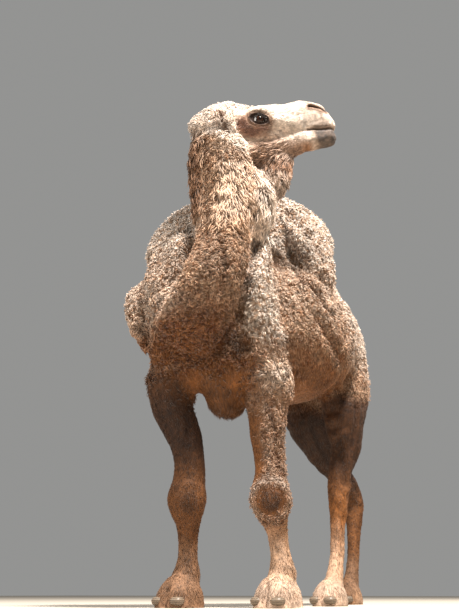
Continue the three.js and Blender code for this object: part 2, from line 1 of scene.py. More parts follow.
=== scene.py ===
import math
import bmesh
import bpy
import numpy as np
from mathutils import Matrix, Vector


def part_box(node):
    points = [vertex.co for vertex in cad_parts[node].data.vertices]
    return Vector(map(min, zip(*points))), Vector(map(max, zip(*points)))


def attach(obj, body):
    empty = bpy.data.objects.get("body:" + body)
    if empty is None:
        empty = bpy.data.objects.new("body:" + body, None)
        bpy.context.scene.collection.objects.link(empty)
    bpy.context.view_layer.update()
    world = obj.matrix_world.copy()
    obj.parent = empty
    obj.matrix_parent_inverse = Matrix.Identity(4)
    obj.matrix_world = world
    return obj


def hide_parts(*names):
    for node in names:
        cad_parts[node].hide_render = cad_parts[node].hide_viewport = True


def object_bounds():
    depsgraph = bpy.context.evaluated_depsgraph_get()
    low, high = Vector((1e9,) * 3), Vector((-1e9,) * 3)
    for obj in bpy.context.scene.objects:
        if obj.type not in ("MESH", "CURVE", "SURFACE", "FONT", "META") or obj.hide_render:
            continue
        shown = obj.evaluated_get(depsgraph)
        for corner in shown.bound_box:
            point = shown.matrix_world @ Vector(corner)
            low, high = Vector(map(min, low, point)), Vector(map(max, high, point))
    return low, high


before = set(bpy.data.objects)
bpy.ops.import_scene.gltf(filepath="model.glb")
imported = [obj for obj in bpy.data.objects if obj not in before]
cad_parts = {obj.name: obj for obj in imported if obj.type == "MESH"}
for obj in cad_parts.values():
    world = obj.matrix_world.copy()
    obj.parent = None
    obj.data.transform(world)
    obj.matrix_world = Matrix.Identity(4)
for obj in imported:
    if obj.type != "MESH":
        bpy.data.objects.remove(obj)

cad_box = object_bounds()

# ---------- Studio ----------
# A pale matt floor under the animal, one broad soft lamp almost overhead and weak lamps that open
# the shade.  The eye stands a hand's breadth above the floor and looks up past the left forefoot.
MM = 0.001
NAIL_FROM_ORIGIN = np.array([152, -34, 25]) * MM     # left inner fore nail, from between the forefeet
ORIGIN = np.mean(np.array(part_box("nail_fore_left_inner")), axis=0) - NAIL_FROM_ORIGIN
VIEW_SIDE = math.radians(33)      # how far the view stands round to the animal's left of its front
VIEW_RISE = math.radians(17.7)
VIEW_DISTANCE = 3.75
VIEW_HEIGHT = 0.055
LENS_MM = 52.94
SENSOR_MM = 36
FLOOR_HALF = 14                   # metres


def linear(code):
    """The linear RGBA of an sRGB hex colour: each channel c becomes c/12.92 up to 0.04045 and
    ((c + 0.055)/1.055)**2.4 above it."""
    channels = [int(code[i:i + 2], 16) / 255 for i in (1, 3, 5)]
    return *(c / 12.92 if c <= 0.04045 else ((c + 0.055) / 1.055) ** 2.4 for c in channels), 1.0


def add(tree, kind, settings=None, **links):
    """Adds a shader node to a material's tree.  Settings name its properties or, by name or number, its
    sockets; links name sockets (spaces as underscores) and give the output that feeds each."""
    node = tree.nodes.new("ShaderNode" + kind)
    for key, value in (settings or {}).items():
        if isinstance(key, str) and hasattr(node, key):
            setattr(node, key, value)
        else:
            node.inputs[key].default_value = value
    for key, output in links.items():
        socket = node.inputs[int(key[1:])] if key[1:].isdigit() else node.inputs[key.replace("_", " ")]
        tree.links.new(output, socket)
    return node


def matter(name):
    """A new material with an empty node tree; hands back the material and its tree."""
    material = bpy.data.materials.new(name)
    material.use_nodes = True
    material.node_tree.nodes.clear()
    return material, material.node_tree


def finish_matter(tree, surface):
    """Joins a shader to the material's output."""
    output = tree.nodes.new("ShaderNodeOutputMaterial")
    tree.links.new(surface, output.inputs["Surface"])


def mesh_object(name, points, faces, smooth=True):
    """A mesh object at the origin from an array of points and an array, or arrays, of face corners."""
    groups = [np.asarray(group) for group in (faces if isinstance(faces, list) else [faces])]
    mesh = bpy.data.meshes.new(name)
    mesh.vertices.add(len(points))
    mesh.vertices.foreach_set("co", np.asarray(points, np.float32).ravel())
    sizes = np.concatenate([np.full(len(group), group.shape[1]) for group in groups])
    corners = np.concatenate([group.ravel() for group in groups])
    mesh.loops.add(len(corners))
    mesh.loops.foreach_set("vertex_index", corners.astype(np.int32))
    mesh.polygons.add(len(sizes))
    mesh.polygons.foreach_set("loop_start", (np.cumsum(sizes) - sizes).astype(np.int32))
    mesh.update(calc_edges=True)
    mesh.polygons.foreach_set("use_smooth", np.full(len(sizes), smooth))
    piece = bpy.data.objects.new(name, mesh)
    bpy.context.scene.collection.objects.link(piece)
    return piece


paint, tree = matter("matt_floor_paint")
shader = add(tree, "BsdfPrincipled", {"Base Color": linear("#B9B1A5"), "Roughness": 0.9})
finish_matter(tree, shader.outputs["BSDF"])
floor_corners = [[x * FLOOR_HALF, y * FLOOR_HALF, 0] for x, y in ((-1, -1), (1, -1), (1, 1), (-1, 1))]
floor = mesh_object("floor", floor_corners, np.array([[0, 1, 2, 3]]), smooth=False)
floor.data.materials.append(paint)

world = bpy.data.worlds.new("studio")
world.use_nodes = True
backdrop = world.node_tree.nodes["Background"]
backdrop.inputs["Color"].default_value = linear("#E4E4E2")
backdrop.inputs["Strength"].default_value = 0.38
bpy.context.scene.world = world


def lamp(name, place, target, size, watts, color):
    """A square soft lamp at a place, turned towards a target."""
    data = bpy.data.lights.new(name, "AREA")
    data.shape = "SQUARE"
    data.size = size
    data.energy = watts
    data.color = linear(color)[:3]
    piece = bpy.data.objects.new(name, data)
    piece.location = place
    piece.rotation_euler = (Vector(target) - Vector(place)).to_track_quat("-Z", "Y").to_euler()
    bpy.context.scene.collection.objects.link(piece)


lamp("key", (2.0, -1.3, 6.0), (0, 0, 1.2), 1.0, 1150, "#FFF7EE")
lamp("front_fill", (-2.6, -3.6, 3.6), (0, -0.2, 1.7), 2.2, 170, "#FFFAF4")
lamp("back", (0.6, 4.6, 4.2), (0, 0, 1.3), 2.6, 120, "#FFF9F0")

camera_data = bpy.data.cameras.new("view")
camera_data.lens = LENS_MM
camera_data.sensor_width = SENSOR_MM
camera = bpy.data.objects.new("view", camera_data)
camera.location = (ORIGIN[0] + VIEW_DISTANCE * math.sin(VIEW_SIDE),
                   ORIGIN[1] - VIEW_DISTANCE * math.cos(VIEW_SIDE), VIEW_HEIGHT)
camera.rotation_euler = (math.pi / 2 + VIEW_RISE, 0, VIEW_SIDE)
bpy.context.scene.collection.objects.link(camera)
bpy.context.scene.camera = camera
bpy.context.scene.view_settings.view_transform = "Standard"

# ---------- The flesh ----------
# Every length of the body is a run of oval rings along a smooth line, as a modeller lays clay over
# an armature.  The rings end where the hide lies, which is inside the coat's tips by its depth.
FAR = 4.0                               # metres: farther than any two places on the animal
MARGIN = 0.03                           # how far outside its rings a length is still asked
CORE = 1e-3                             # share of a ring that counts as its middle
EYE_HEIGHT = 2056
HEAD_TURN = math.radians(33)
AHEAD = np.array([math.cos(HEAD_TURN), math.sin(HEAD_TURN), 0])
RIGHT = np.array([math.sin(HEAD_TURN), -math.cos(HEAD_TURN), 0])
UP = np.array([0.0, 0, 1])
POLL = np.array([60, -120, 0])
EYES = POLL + 150 * AHEAD + EYE_HEIGHT * UP


def unit(vectors):
    """Each row divided by its own length."""
    return vectors / np.maximum(np.linalg.norm(vectors, axis=-1, keepdims=True), 1e-9)


def smooth_line(points, count):
    """Places and slopes at even steps of a curve through all the points: between two of them it is
    the cubic whose end slopes are half the step from the point before to the point after."""
    points = np.asarray(points, float)
    padded = np.vstack([2 * points[0] - points[1], points, 2 * points[-1] - points[-2]])
    along = np.linspace(0, len(points) - 1, count + 1)
    first = np.minimum(along.astype(int), len(points) - 2)
    t = (along - first)[:, None]
    before, start, end, after = (padded[first + i] for i in range(4))
    leave, arrive = (end - before) / 2, (after - start) / 2
    place = ((2 * t ** 3 - 3 * t ** 2 + 1) * start + (t ** 3 - 2 * t ** 2 + t) * leave
             + (3 * t ** 2 - 2 * t ** 3) * end + (t ** 3 - t ** 2) * arrive)
    slope = ((6 * t ** 2 - 6 * t) * start + (3 * t ** 2 - 4 * t + 1) * leave
             + (6 * t - 6 * t ** 2) * end + (3 * t ** 2 - 2 * t) * arrive)
    return place, slope


class Flesh:
    """A length of flesh.  Each station is x, y, z, half width, reach towards the facing direction and
    reach away from it, in millimetres from between the forefeet.  Near it, the distance of a point
    from the surface is its distance from the line times 1 - 1/r, where r is how many times the
    nearest oval ring has to grow to reach the point."""

    def __init__(self, name, stations, coat=0, facing=(0, -1, 0), steps=3, caps=(40, 40), square=2,
                 blend=30, lie=1):
        """The coat's depth is taken off the rings' sizes.  Facing is where their fronts look, caps is
        how far the ends bulge, square is the power of the ovals, blend is how softly the length melts
        into others, and lie is the way of the hair: 1 down the line, -1 up it, or a direction."""
        stations = np.array(stations, float)
        stations[:, 3:] -= np.broadcast_to(coat, len(stations))[:, None]
        count = (len(stations) - 1) * steps
        centres, slopes = smooth_line(stations[:, :3], count)
        self.name, self.square, self.lie = name, square, lie
        self.centres = ORIGIN + centres * MM
        self.sizes = smooth_line(stations[:, 3:], count)[0] * MM
        self.along = unit(slopes)
        facing = np.broadcast_to(facing, slopes.shape)
        self.front = unit(facing - self.along * np.sum(facing * self.along, 1, keepdims=True))
        self.side = np.cross(self.front, self.along)
        self.caps = [max(cap - np.max(coat), 4) * MM for cap in caps]
        self.blend = blend * MM
        reach = self.sizes.max(1)[:, None] + max(self.caps) + self.blend + MARGIN
        self.low = np.minimum(self.centres[:-1] - reach[:-1], self.centres[1:] - reach[1:])
        self.high = np.maximum(self.centres[:-1] + reach[:-1], self.centres[1:] + reach[1:])

    def stretch(self, i, x, y, z):
        """Distance outside the stretch between rings i and i + 1, how far along it the nearest place
        is, and the offset from the line towards the side and the front."""
        start, step = self.centres[i], self.centres[i + 1] - self.centres[i]
        dx, dy, dz = x - start[0], y - start[1], z - start[2]
        t = np.clip((dx * step[0] + dy * step[1] + dz * step[2]) / (step @ step), 0, 1)
        dx, dy, dz = dx - t * step[0], dy - t * step[1], dz - t * step[2]

        def share(axes):
            """The offset along an axis that turns evenly from one ring's to the next one's."""
            a, b = axes[i], axes[i + 1]
            return (dx * (a[0] + t * (b[0] - a[0])) + dy * (a[1] + t * (b[1] - a[1]))
                    + dz * (a[2] + t * (b[2] - a[2])))
        forth, across = share(self.front), share(self.side)
        size, grow = self.sizes[i], self.sizes[i + 1] - self.sizes[i]
        width = size[0] + t * grow[0]
        reach = np.where(forth > 0, size[1] + t * grow[1], size[2] + t * grow[2])
        cap = np.minimum(width, reach)
        if i == 0:
            cap = np.where(t == 0, self.caps[0], cap)
        if i == len(self.centres) - 2:
            cap = np.where(t == 1, self.caps[1], cap)
        shares = [np.abs(across / width), np.abs(forth / reach), np.abs(share(self.along) / cap)]
        if self.square == 2:
            ratio = np.sqrt(sum(part * part for part in shares))
        else:
            ratio = sum(part ** self.square for part in shares) ** (1 / self.square)
        gap = np.sqrt(dx * dx + dy * dy + dz * dz)
        beyond = gap * (1 - 1 / np.maximum(ratio, CORE))
        away = np.where(ratio < CORE, -np.minimum(width, reach), beyond)
        return away, t, across, forth

    def grid(self, axes):
        """Distance at every crossing of a grid."""
        whole = np.full([len(axis) for axis in axes], FAR, np.float32)
        for i, (low, high) in enumerate(zip(self.low, self.high)):
            spans = [slice(*np.searchsorted(axis, (a, b))) for axis, a, b in zip(axes, low, high)]
            x, y, z = (axis[span] for axis, span in zip(axes, spans))
            away = self.stretch(i, x[:, None, None], y[None, :, None], z[None, None, :])[0]
            whole[tuple(spans)] = np.minimum(whole[tuple(spans)], away)
        return whole

    def at(self, points):
        """Distance of each point, its place along the line from 0 to 1, its angle round the line and
        the direction in which the coat lies there."""
        distance = np.full(len(points), FAR)
        place, angle = np.zeros(len(points)), np.zeros(len(points))
        flow = np.zeros((len(points), 3))
        last = len(self.low)
        for i, (low, high) in enumerate(zip(self.low, self.high)):
            near = np.nonzero(np.all((points > low) & (points < high), axis=1))[0]
            if not len(near):
                continue
            away, t, across, forth = self.stretch(i, *points[near].T)
            better = away < distance[near]
            near, t = near[better], t[better]
            distance[near] = away[better]
            place[near] = (i + t) / last
            angle[near] = np.arctan2(across[better], forth[better])
            mixed = self.along[i] + t[:, None] * (self.along[i + 1] - self.along[i])
            flow[near] = self.lie * mixed if np.ndim(self.lie) == 0 else self.lie
        return distance, place, angle, flow


def melt(values, lengths):
    """Distances from several lengths as one, each melting into those before it: the smaller of the
    two, less (1 - gap/blend)**2 blend/4 where the gap between the two is under the blend."""
    whole = np.full_like(values[0], FAR)
    for value, length in zip(values, lengths):
        overlap = np.maximum(length.blend - np.abs(whole - value), 0) / length.blend
        whole = np.minimum(whole, value) - overlap * overlap * length.blend / 4
    return whole


# ---------- The trunk, humps and tail ----------
# The barrel hangs from the ridge between two emptied humps.  The front one folds over the right
# shoulder as a thick flap, and the slack tip of the rear one hangs over the left flank.
BACK_HEIGHT = 1520
CHEST_FLOOR = 852
BARREL_HALF = 360
HIP_LINE = 930
FALL = (0, 0.5, -1)                 # the way the trunk's wool lies, down and back

barrel = Flesh("barrel", [
    [0, 40, 1150, 186, 250, 256],
    [0, 140, 1172, 262, 330, 320],
    [0, 240, 1180, 330, BACK_HEIGHT - 1180, 1180 - CHEST_FLOOR],
    [0, 350, 1178, BARREL_HALF - 6, BACK_HEIGHT - 1178, 315],
    [0, 500, 1190, BARREL_HALF - 20, 330, 298],
    [0, 650, 1220, 294, 300, 262],
    [0, 800, 1245, 242, 265, 225],
    [0, HIP_LINE, 1250, 200, 225, 185],
    [0, HIP_LINE + 120, 1240, 145, 175, 160],
], coat=16, facing=UP, caps=(60, 60), square=2.15, steps=2, lie=FALL)

withers = Flesh("withers", [
    [-20, -10, 1440, 110, 60, 70],
    [-10, 160, 1480, 120, 70, 70],
    [0, 400, 1490, 120, 60, 70],
], coat=16, facing=UP, caps=(60, 60), blend=90, lie=FALL)

rear_hump = Flesh("rear_hump", [
    [0, 600, 1400, 200, 290, 270],
    [25, 590, 1600, 165, 310, 240],
    [50, 590, 1750, 112, 330, 200],
    [66, 600, 1845, 76, 280, 150],
], coat=18, caps=(60, 55), blend=90, lie=FALL)

front_hump = Flesh("front_hump", [
    [-20, 190, 1440, 190, 220, 180],
    [-50, 165, 1580, 160, 200, 170],
    [-130, 115, 1684, 100, 180, 165],
    [-250, 35, 1646, 98, 160, 180],
    [-294, -20, 1540, 100, 150, 190],
    [-272, -42, 1440, 96, 146, 184],
    [-292, -80, 1340, 96, 146, 186],
    [-330, -132, 1230, 100, 150, 200],
    [-308, -100, 1120, 82, 125, 170],
], coat=18, caps=(60, 60), blend=60, lie=FALL)

rear_fold = Flesh("rear_fold", [
    [70, 590, 1800, 76, 230, 150],
    [136, 530, 1730, 80, 214, 150],
    [182, 464, 1620, 80, 176, 130],
    [226, 410, 1510, 84, 134, 96],
    [250, 380, 1420, 70, 90, 60],
], coat=16, caps=(30, 46), blend=70, lie=FALL)

cape = Flesh("cape", [
    [-136, 40, 1650, 124, 120, 110],
    [-150, -44, 1550, 140, 116, 110],
    [-160, -108, 1400, 150, 110, 120],
    [-160, -140, 1260, 154, 106, 130],
    [-170, -120, 1120, 126, 100, 120],
], coat=14, caps=(40, 40), blend=130, lie=FALL)

brisket = Flesh("brisket", [
    [70, 0, 1430, 100, 110, 100],
    [100, -24, 1280, 112, 104, 100],
    [96, 20, 1120, 116, 92, 110],
    [76, 40, 980, 116, 92, 110],
], coat=14, caps=(60, 60), blend=80, lie=FALL)

sternum = Flesh("sternum", [
    [-236, -110, 985, 90, 110, 100],
    [-130, -50, 980, 110, 110, 106],
    [0, 0, 975, 120, 110, 104],
    [120, 20, 975, 110, 110, 104],
], coat=6, facing=UP, caps=(60, 60), blend=70, lie=FALL)

breast_pad = Flesh("breast_pad", [
    [-30, 30, 890, 86, 140, 130],
    [-30, 24, 808, 66, 104, 92],
], coat=3, caps=(30, 30), blend=60)

tail = Flesh("tail", [
    [0, HIP_LINE + 150, 1330, 48, 46, 46],
    [0, HIP_LINE + 235, 1240, 34, 34, 34],
    [0, HIP_LINE + 240, 1080, 26, 26, 26],
    [0, HIP_LINE + 232, 920, 30, 30, 30],
    [0, HIP_LINE + 226, 790, 36, 34, 34],
], coat=[8, 8, 8, 14, 20], caps=(40, 60))


def shoulder(side, y, lean):
    """The shoulder blade and upper arm, a long slab that stands proud of the ribs."""
    return Flesh("shoulder", [
        [side * 144, y - 60, 1500, 66, 90, 46],
        [side * (178 + 0.14 * lean), y - 110, 1300, 74, 104, 46],
        [side * (180 + 0.35 * lean), y - 66, 1110, 84, 116, 54],
        [side * (168 + 0.78 * lean), y + 4, 950, 90, 128, 78],
        [side * (158 + 0.95 * lean), y + 26, 850, 92, 108, 92],
    ], coat=12, caps=(60, 40), blend=30)


# ---------- The legs ----------
# Long straight legs on broad two-toed soles.  The forelegs stand a pace apart with thick calloused
# knees; of the hind legs, the left is drawn well forward and the right stretches back.
ELBOW_HEIGHT = 830
KNEE_HEIGHT = 418
HOCK_HEIGHT = 500
FETLOCK_HEIGHT = 112
STANCE = [
    {"name": "left", "side": 1, "fore": dict(x=150, y=66, lean=-10, knee=8, splay=34),
     "hind": dict(x=128, hip=905, hock=735, toe=640)},
    {"name": "right", "side": -1, "fore": dict(x=155, y=-80, lean=86, knee=-4, splay=14),
     "hind": dict(x=96, hip=960, hock=1375, toe=1275)},
]


def foreleg(side, x, y, lean, knee, splay):
    """Rows: height, shift outwards, shift back, half width, reach forward, reach back."""
    rows = [
        [ELBOW_HEIGHT + 110, lean, -lean * 0.38, 98, 110, 104],
        [ELBOW_HEIGHT + 20, lean * 0.94, -lean * 0.3, 100, 106, 100],
        [ELBOW_HEIGHT - 60, lean * 0.64, -lean * 0.23, 92, 94, 92],
        [ELBOW_HEIGHT - 150, lean * 0.24 - 3, 0, 78, 80, 80],
        [KNEE_HEIGHT + 150, knee * 0.3 - 3, 8, 69, 74, 74],
        [KNEE_HEIGHT + 60, knee * 0.7, 4, 75, 80, 68],
        [KNEE_HEIGHT, knee + 2, 0, 86, 90, 66],
        [KNEE_HEIGHT - 70, knee + splay * 0.25, 8, 61, 64, 60],
        [KNEE_HEIGHT - 130, knee + splay * 0.55, 14, 46, 46, 50],
        [FETLOCK_HEIGHT + 90, knee + splay * 0.85, 18, 42, 41, 45],
        [FETLOCK_HEIGHT + 20, knee + splay + 2, 18, 56, 52, 56],
        [FETLOCK_HEIGHT - 22, knee + splay + 3, 8, 60, 60, 64],
        [62, knee + splay + 4, -2, 70, 80, 76],
        [34, knee + splay + 4, -10, 90, 110, 88],
        [-20, knee + splay + 4, -14, 101, 126, 90],
    ]
    coat = [16, 16, 12, 8, 8, 7, 4, 5, 5, 4, 4, 4, 3, 2, 2]
    return Flesh("foreleg", [[side * (x + out), y + back, z, *size] for z, out, back, *size in rows],
                 coat=coat, caps=(40, 20), blend=50, steps=2)


def hindleg(side, x, hip, hock, toe):
    """The thigh, the gaskin, the hock and the cannon down to the foot."""
    thigh = hip + 0.45 * (hock - hip)
    return Flesh("hindleg", [
        [side * 120, hip, 1180, 98, 175, 130],
        [side * 148, hip - 30, 1030, 98, 206, 136],
        [side * 160, thigh - 50, 880, 90, 182, 140],
        [side * 155, thigh + 0.3 * (hock - thigh), 740, 70, 122, 104],
        [side * (x + 4), thigh + 0.75 * (hock - thigh), 610, 54, 68, 74],
        [side * x, hock, HOCK_HEIGHT + 30, 51, 53, 72],
        [side * x, hock, HOCK_HEIGHT - 30, 50, 51, 60],
        [side * x, hock - 0.08 * (hock - toe), HOCK_HEIGHT - 110, 41, 41, 43],
        [side * x, hock - 0.3 * (hock - toe), FETLOCK_HEIGHT + 110, 35, 36, 38],
        [side * x, hock - 0.6 * (hock - toe), FETLOCK_HEIGHT + 20, 42, 42, 46],
        [side * x, hock - 0.86 * (hock - toe), FETLOCK_HEIGHT - 32, 52, 58, 54],
        [side * x, toe - 4, 50, 68, 86, 70],
        [side * x, toe - 10, 20, 78, 104, 80],
        [side * x, toe - 10, -30, 76, 102, 78],
    ], coat=[12, 10, 8, 6, 5, 5, 4, 4, 4, 4, 4, 3, 2, 2], caps=(40, 20), blend=60, steps=2)


# ---------- The neck and head ----------
# The neck leaves the chest low, swells over the breast and rises steeply to the poll.  The head is
# turned back over the left shoulder.
def at_head(ahead, right, above):
    """A place given as ahead of the eyes, to the right of the midline and above the eyes."""
    return EYES + ahead * AHEAD + right * RIGHT + above * UP


def over_poll(ahead, z):
    """A place on the upright plane of the head, given as ahead of the poll and above the floor."""
    return [*(POLL + ahead * AHEAD)[:2], z]


neck = Flesh("neck", [
    [-10, 70, 1230, 150, 200, 180],
    [-34, -90, 1176, 152, 182, 190],
    [-56, -186, 1186, 168, 168, 164],
    [74, -242, 1296, 130, 128, 130],
    [92, -204, 1410, 124, 112, 114],
    [78, -162, 1516, 132, 108, 110],
    [66, -132, 1625, 156, 112, 114],
    [*over_poll(-2, 1740), 172, 110, 118],
    [*over_poll(-24, 1880), 152, 104, 112],
    [*over_poll(-46, 1980), 120, 88, 92],
], coat=[14, 14, 14, 15, 15, 16, 20, 20, 14, 10], facing=(0, -1, -1), caps=(60, 30), blend=24, lie=-1)

mane = Flesh("mane", [
    [*over_poll(130, 1800), 64, 62, 60],
    [*over_poll(142, 1712), 92, 80, 60],
    [*over_poll(122, 1620), 92, 80, 44],
    [*over_poll(92, 1540), 56, 50, 14],
], coat=14, facing=AHEAD, caps=(40, 50), blend=40)

nape = Flesh("nape", [
    [*over_poll(-120, 1990), 44, 40, 44],
    [*over_poll(-126, 1900), 46, 40, 48],
    [*over_poll(-112, 1760), 44, 40, 52],
    [*over_poll(-104, 1640), 40, 36, 50],
    [*over_poll(-92, 1560), 26, 30, 34],
], coat=14, facing=AHEAD, caps=(30, 30), blend=20)

skull = Flesh("skull", [[*at_head(ahead, 0, above), *size] for ahead, above, *size in [
    [-270, -8, 66, 62, 66],
    [-215, 8, 86, 90, 95],
    [-145, 15, 97, 112, 120],
    [-70, 10, 101, 88, 130],
    [0, 5, 101, 86, 124],
    [70, 18, 82, 84, 116],
    [140, 30, 64, 84, 98],
    [208, 42, 54, 84, 82],
    [250, 36, 52, 62, 74],
    [286, 18, 49, 40, 54],
    [309, -2, 44, 29, 32],
]], coat=[22, 24, 22, 14, 6, 5, 4, 1, 0, 0, 0], facing=UP, steps=5, caps=(50, 26), square=2.2, lie=-1)

jaw = Flesh("jaw", [[*at_head(ahead, 0, above), *size] for ahead, above, *size in [
    [-150, -150, 76, 90, 80],
    [-20, -145, 72, 80, 66],
    [70, -122, 60, 62, 58],
    [150, -98, 50, 56, 46],
    [225, -80, 50, 56, 34],
    [315, -66, 47, 47, 25],
]], coat=[12, 10, 7, 5, 2, 0], facing=UP, steps=5, caps=(60, 36), blend=14, lie=-1)

beard = Flesh("beard", [
    [*at_head(62, 0, -168), 52, 90, 100],
    [*at_head(68, 0, -225), 52, 80, 92],
    [*at_head(76, 0, -280), 42, 58, 64],
    [*at_head(86, 0, -326), 22, 26, 28],
], coat=[10, 12, 12, 8], facing=AHEAD, caps=(30, 18), blend=34)


def ear(side):
    """Small rounded ears, laid back along the side of the poll."""
    return Flesh("ear", [
        [*at_head(-122, side * 76, -76), 24, 18, 18],
        [*at_head(-148, side * 100, -28), 33, 14, 14],
        [*at_head(-174, side * 107, 12), 26, 11, 11],
        [*at_head(-188, side * 106, 38), 11, 6, 6],
    ], coat=2, facing=side * RIGHT, caps=(12, 7), blend=10)


lengths = [barrel, withers, rear_hump, front_hump, rear_fold, cape, brisket, sternum, breast_pad]
for stance in STANCE:
    lengths.append(shoulder(stance["side"], stance["fore"]["y"], stance["fore"]["lean"]))
for stance in STANCE:
    lengths.append(foreleg(stance["side"], **stance["fore"]))
    lengths.append(hindleg(stance["side"], **stance["hind"]))
lengths += [tail, skull, jaw, neck, mane, nape, beard, ear(-1), ear(1)]

# ---------- The hide ----------
# One closed skin over all the flesh, dry and close-haired under the wool.  It is drawn round the
# lengths on a grid, then the head is divided more finely for its lids, lips and nostrils.
CELL = 0.0134                           # step of the grid
SLIGHT = 0.0005                         # depth of a filled corner
OUTSIDE = 0.01                          # distance given to all that is below the floor


def fill_pinches(values):
    """Where two inside corners face each other across a grid square, the other two are filled in, so
    that the surface never meets itself along a line."""
    found = True
    while found:
        found = False
        for u, v in ((0, 1), (1, 2), (2, 0)):
            offsets = np.zeros((4, 3), int)
            offsets[1, u] = offsets[3, u] = offsets[2, v] = offsets[3, v] = 1
            trim = [int(axis in (u, v)) for axis in range(3)]
            spans = [tuple(slice(first, size - less + first) for first, size, less
                           in zip(offset, values.shape, trim)) for offset in offsets]
            a, b, c, d = (values[span] < 0 for span in spans)
            pinched = np.argwhere((a == d) & (b == c) & (a != b))
            found = found or len(pinched) > 0
            for offset in offsets:
                spot = tuple((pinched + offset).T)
                values[spot] = np.minimum(values[spot], -SLIGHT)


def hide_net(values, axes):
    """The closed surface where a grid of values is zero: one point in each cell that the surface
    passes through, at the mean of its crossings of the cell's edges, and one four-sided face across
    each grid edge that it crosses."""
    inside = values < 0
    cells = np.array(values.shape) - 1
    size = int(np.prod(cells))
    total, hits = np.zeros((3, size)), np.zeros(size)
    strides = np.array([cells[1] * cells[2], cells[2], 1])
    crossings = []
    for axis in range(3):
        u, v = (axis + 1) % 3, (axis + 2) % 3
        first = [slice(None)] * 3
        second = [slice(None)] * 3
        first[axis], second[axis] = slice(None, -1), slice(1, None)
        start, end = values[tuple(first)], values[tuple(second)]
        corner = np.argwhere(inside[tuple(first)] != inside[tuple(second)])
        picked = tuple(corner.T)
        share = start[picked] / (start[picked] - end[picked])
        for du in (0, 1):
            for dv in (0, 1):
                cell = corner.copy()
                cell[:, u] -= du
                cell[:, v] -= dv
                key = cell @ strides
                for part, amount in ((axis, share), (u, du), (v, dv)):
                    total[part] += np.bincount(key, np.broadcast_to(amount, len(key)), minlength=size)
                hits += np.bincount(key, minlength=size)
        key = corner @ strides
        ring = np.stack([key - strides[u] - strides[v], key - strides[v], key, key - strides[u]], 1)
        flip = ~inside[tuple(first)][picked]
        ring[flip] = ring[flip][:, ::-1]
        crossings.append(ring)
    used = np.nonzero(hits)[0]
    number = np.full(size, -1)
    number[used] = np.arange(len(used))
    cell = np.stack(np.unravel_index(used, cells), 1)
    low = np.array([axis[0] for axis in axes])
    return low + (cell + (total[:, used] / hits[used]).T) * CELL, number[np.concatenate(crossings)]


def body_distance(points):
    """Distance of each point outside the melted flesh."""
    return melt([length.at(points)[0] for length in lengths], lengths)


def settle(points, passes=2):
    """Moves points along the slope of the body's distance until it is zero there."""
    step, least = 0.003, 0.3
    for _ in range(passes):
        here = body_distance(points)
        slope = np.stack([(body_distance(points + step * axis) - here) / step for axis in np.eye(3)], 1)
        steep = np.maximum(np.sum(slope * slope, 1), least)
        points = points - slope * (np.clip(here, -CELL, CELL) / steep)[:, None]
    return points


low, high = (np.array(corner) for corner in cad_box)
axes = [np.arange(a - 3 * CELL, b + 3 * CELL, CELL) for a, b in zip(low, high)]
values = melt([length.grid(axes) for length in lengths], lengths)
values[:, :, axes[2] < 0.0] = OUTSIDE
fill_pinches(values)
points, faces = hide_net(values, axes)
points = settle(points, 1)
hide = mesh_object("hide", points, faces)


def refine(piece, wanted):
    """Divides in four each face whose middle passes a test, and closes the gaps round them."""
    grid = bmesh.new()
    grid.from_mesh(piece.data)
    grid.faces.ensure_lookup_table()
    middles = np.array([face.calc_center_median() for face in grid.faces])
    edges = {edge for i in np.nonzero(wanted(middles))[0] for edge in grid.faces[i].edges}
    bmesh.ops.subdivide_edges(grid, edges=list(edges), cuts=1, use_grid_fill=True)
    grid.to_mesh(piece.data)
    grid.free()


def body_frame(places):
    """Millimetres to the animal's left, behind the forefeet and above the floor."""
    return (places - ORIGIN) / MM


def head_frame(places):
    """Millimetres ahead of the eyes, to the right of the midline and above the eyes."""
    return (body_frame(places) - EYES) @ np.stack([AHEAD, RIGHT, UP], 1)


def ramp(value, low, high):
    """0 below low and 1 above high, with the smooth step 3t**2 - 2t**3 between."""
    t = np.clip((value - low) / (high - low), 0, 1)
    return t * t * (3 - 2 * t)


def bell(*offsets):
    """exp of minus the sum of the squares of the offsets."""
    return np.exp(-sum(offset * offset for offset in offsets))


# The openings of the head, in millimetres from the eyes' level and the midline.
EYE_AHEAD, EYE_ABOVE = -4, -11          # middle of the eye's opening
EYE_RADIUS = 24
EYE_DEPTH = 77                          # middle of the eyeball from the midline
LID_HALF = (25, 16)                     # half length and half height of the opening
LID_TIP = 0.10                          # how steeply it slopes down towards the nose
NOSTRIL = [(211, 77), (238, 80), (266, 73), (296, 58)]
EAR_SLIT = [(-183, 20), (-160, -30), (-137, -82)]
JAW_LINE = [(40, -136), (134, -78), (200, -48)]
MOUTH_CORNER = 208


def lid_ratio(a, h):
    """1 on the edge of the eye's opening, less inside: an oval tipped down towards the nose."""
    x, y = a - EYE_AHEAD, h - EYE_ABOVE + LID_TIP * (a - EYE_AHEAD)
    return np.sqrt((x / LID_HALF[0]) ** 2 + (y / LID_HALF[1]) ** 2)


def lip_height(a):
    """Height of the line between the lips, which rises towards the front."""
    return -29 + 5 * ramp(a, 277, 340)


def off_path(u, v, path):
    """Signed distance from a bent line in a plane, positive above it, and the share along it."""
    best, side, share = np.full(u.shape, 1e9), np.ones(u.shape), np.zeros(u.shape)
    for i, ((u0, v0), (u1, v1)) in enumerate(zip(path[:-1], path[1:])):
        du, dv = u1 - u0, v1 - v0
        t = np.clip(((u - u0) * du + (v - v0) * dv) / (du * du + dv * dv), 0, 1)
        gap = np.hypot(u - u0 - t * du, v - v0 - t * dv)
        closer = gap < best
        best = np.where(closer, gap, best)
        side = np.where(closer, np.sign(du * (v - v0) - dv * (u - u0)), side)
        share = np.where(closer, (i + t) / (len(path) - 1), share)
    return best * side, share


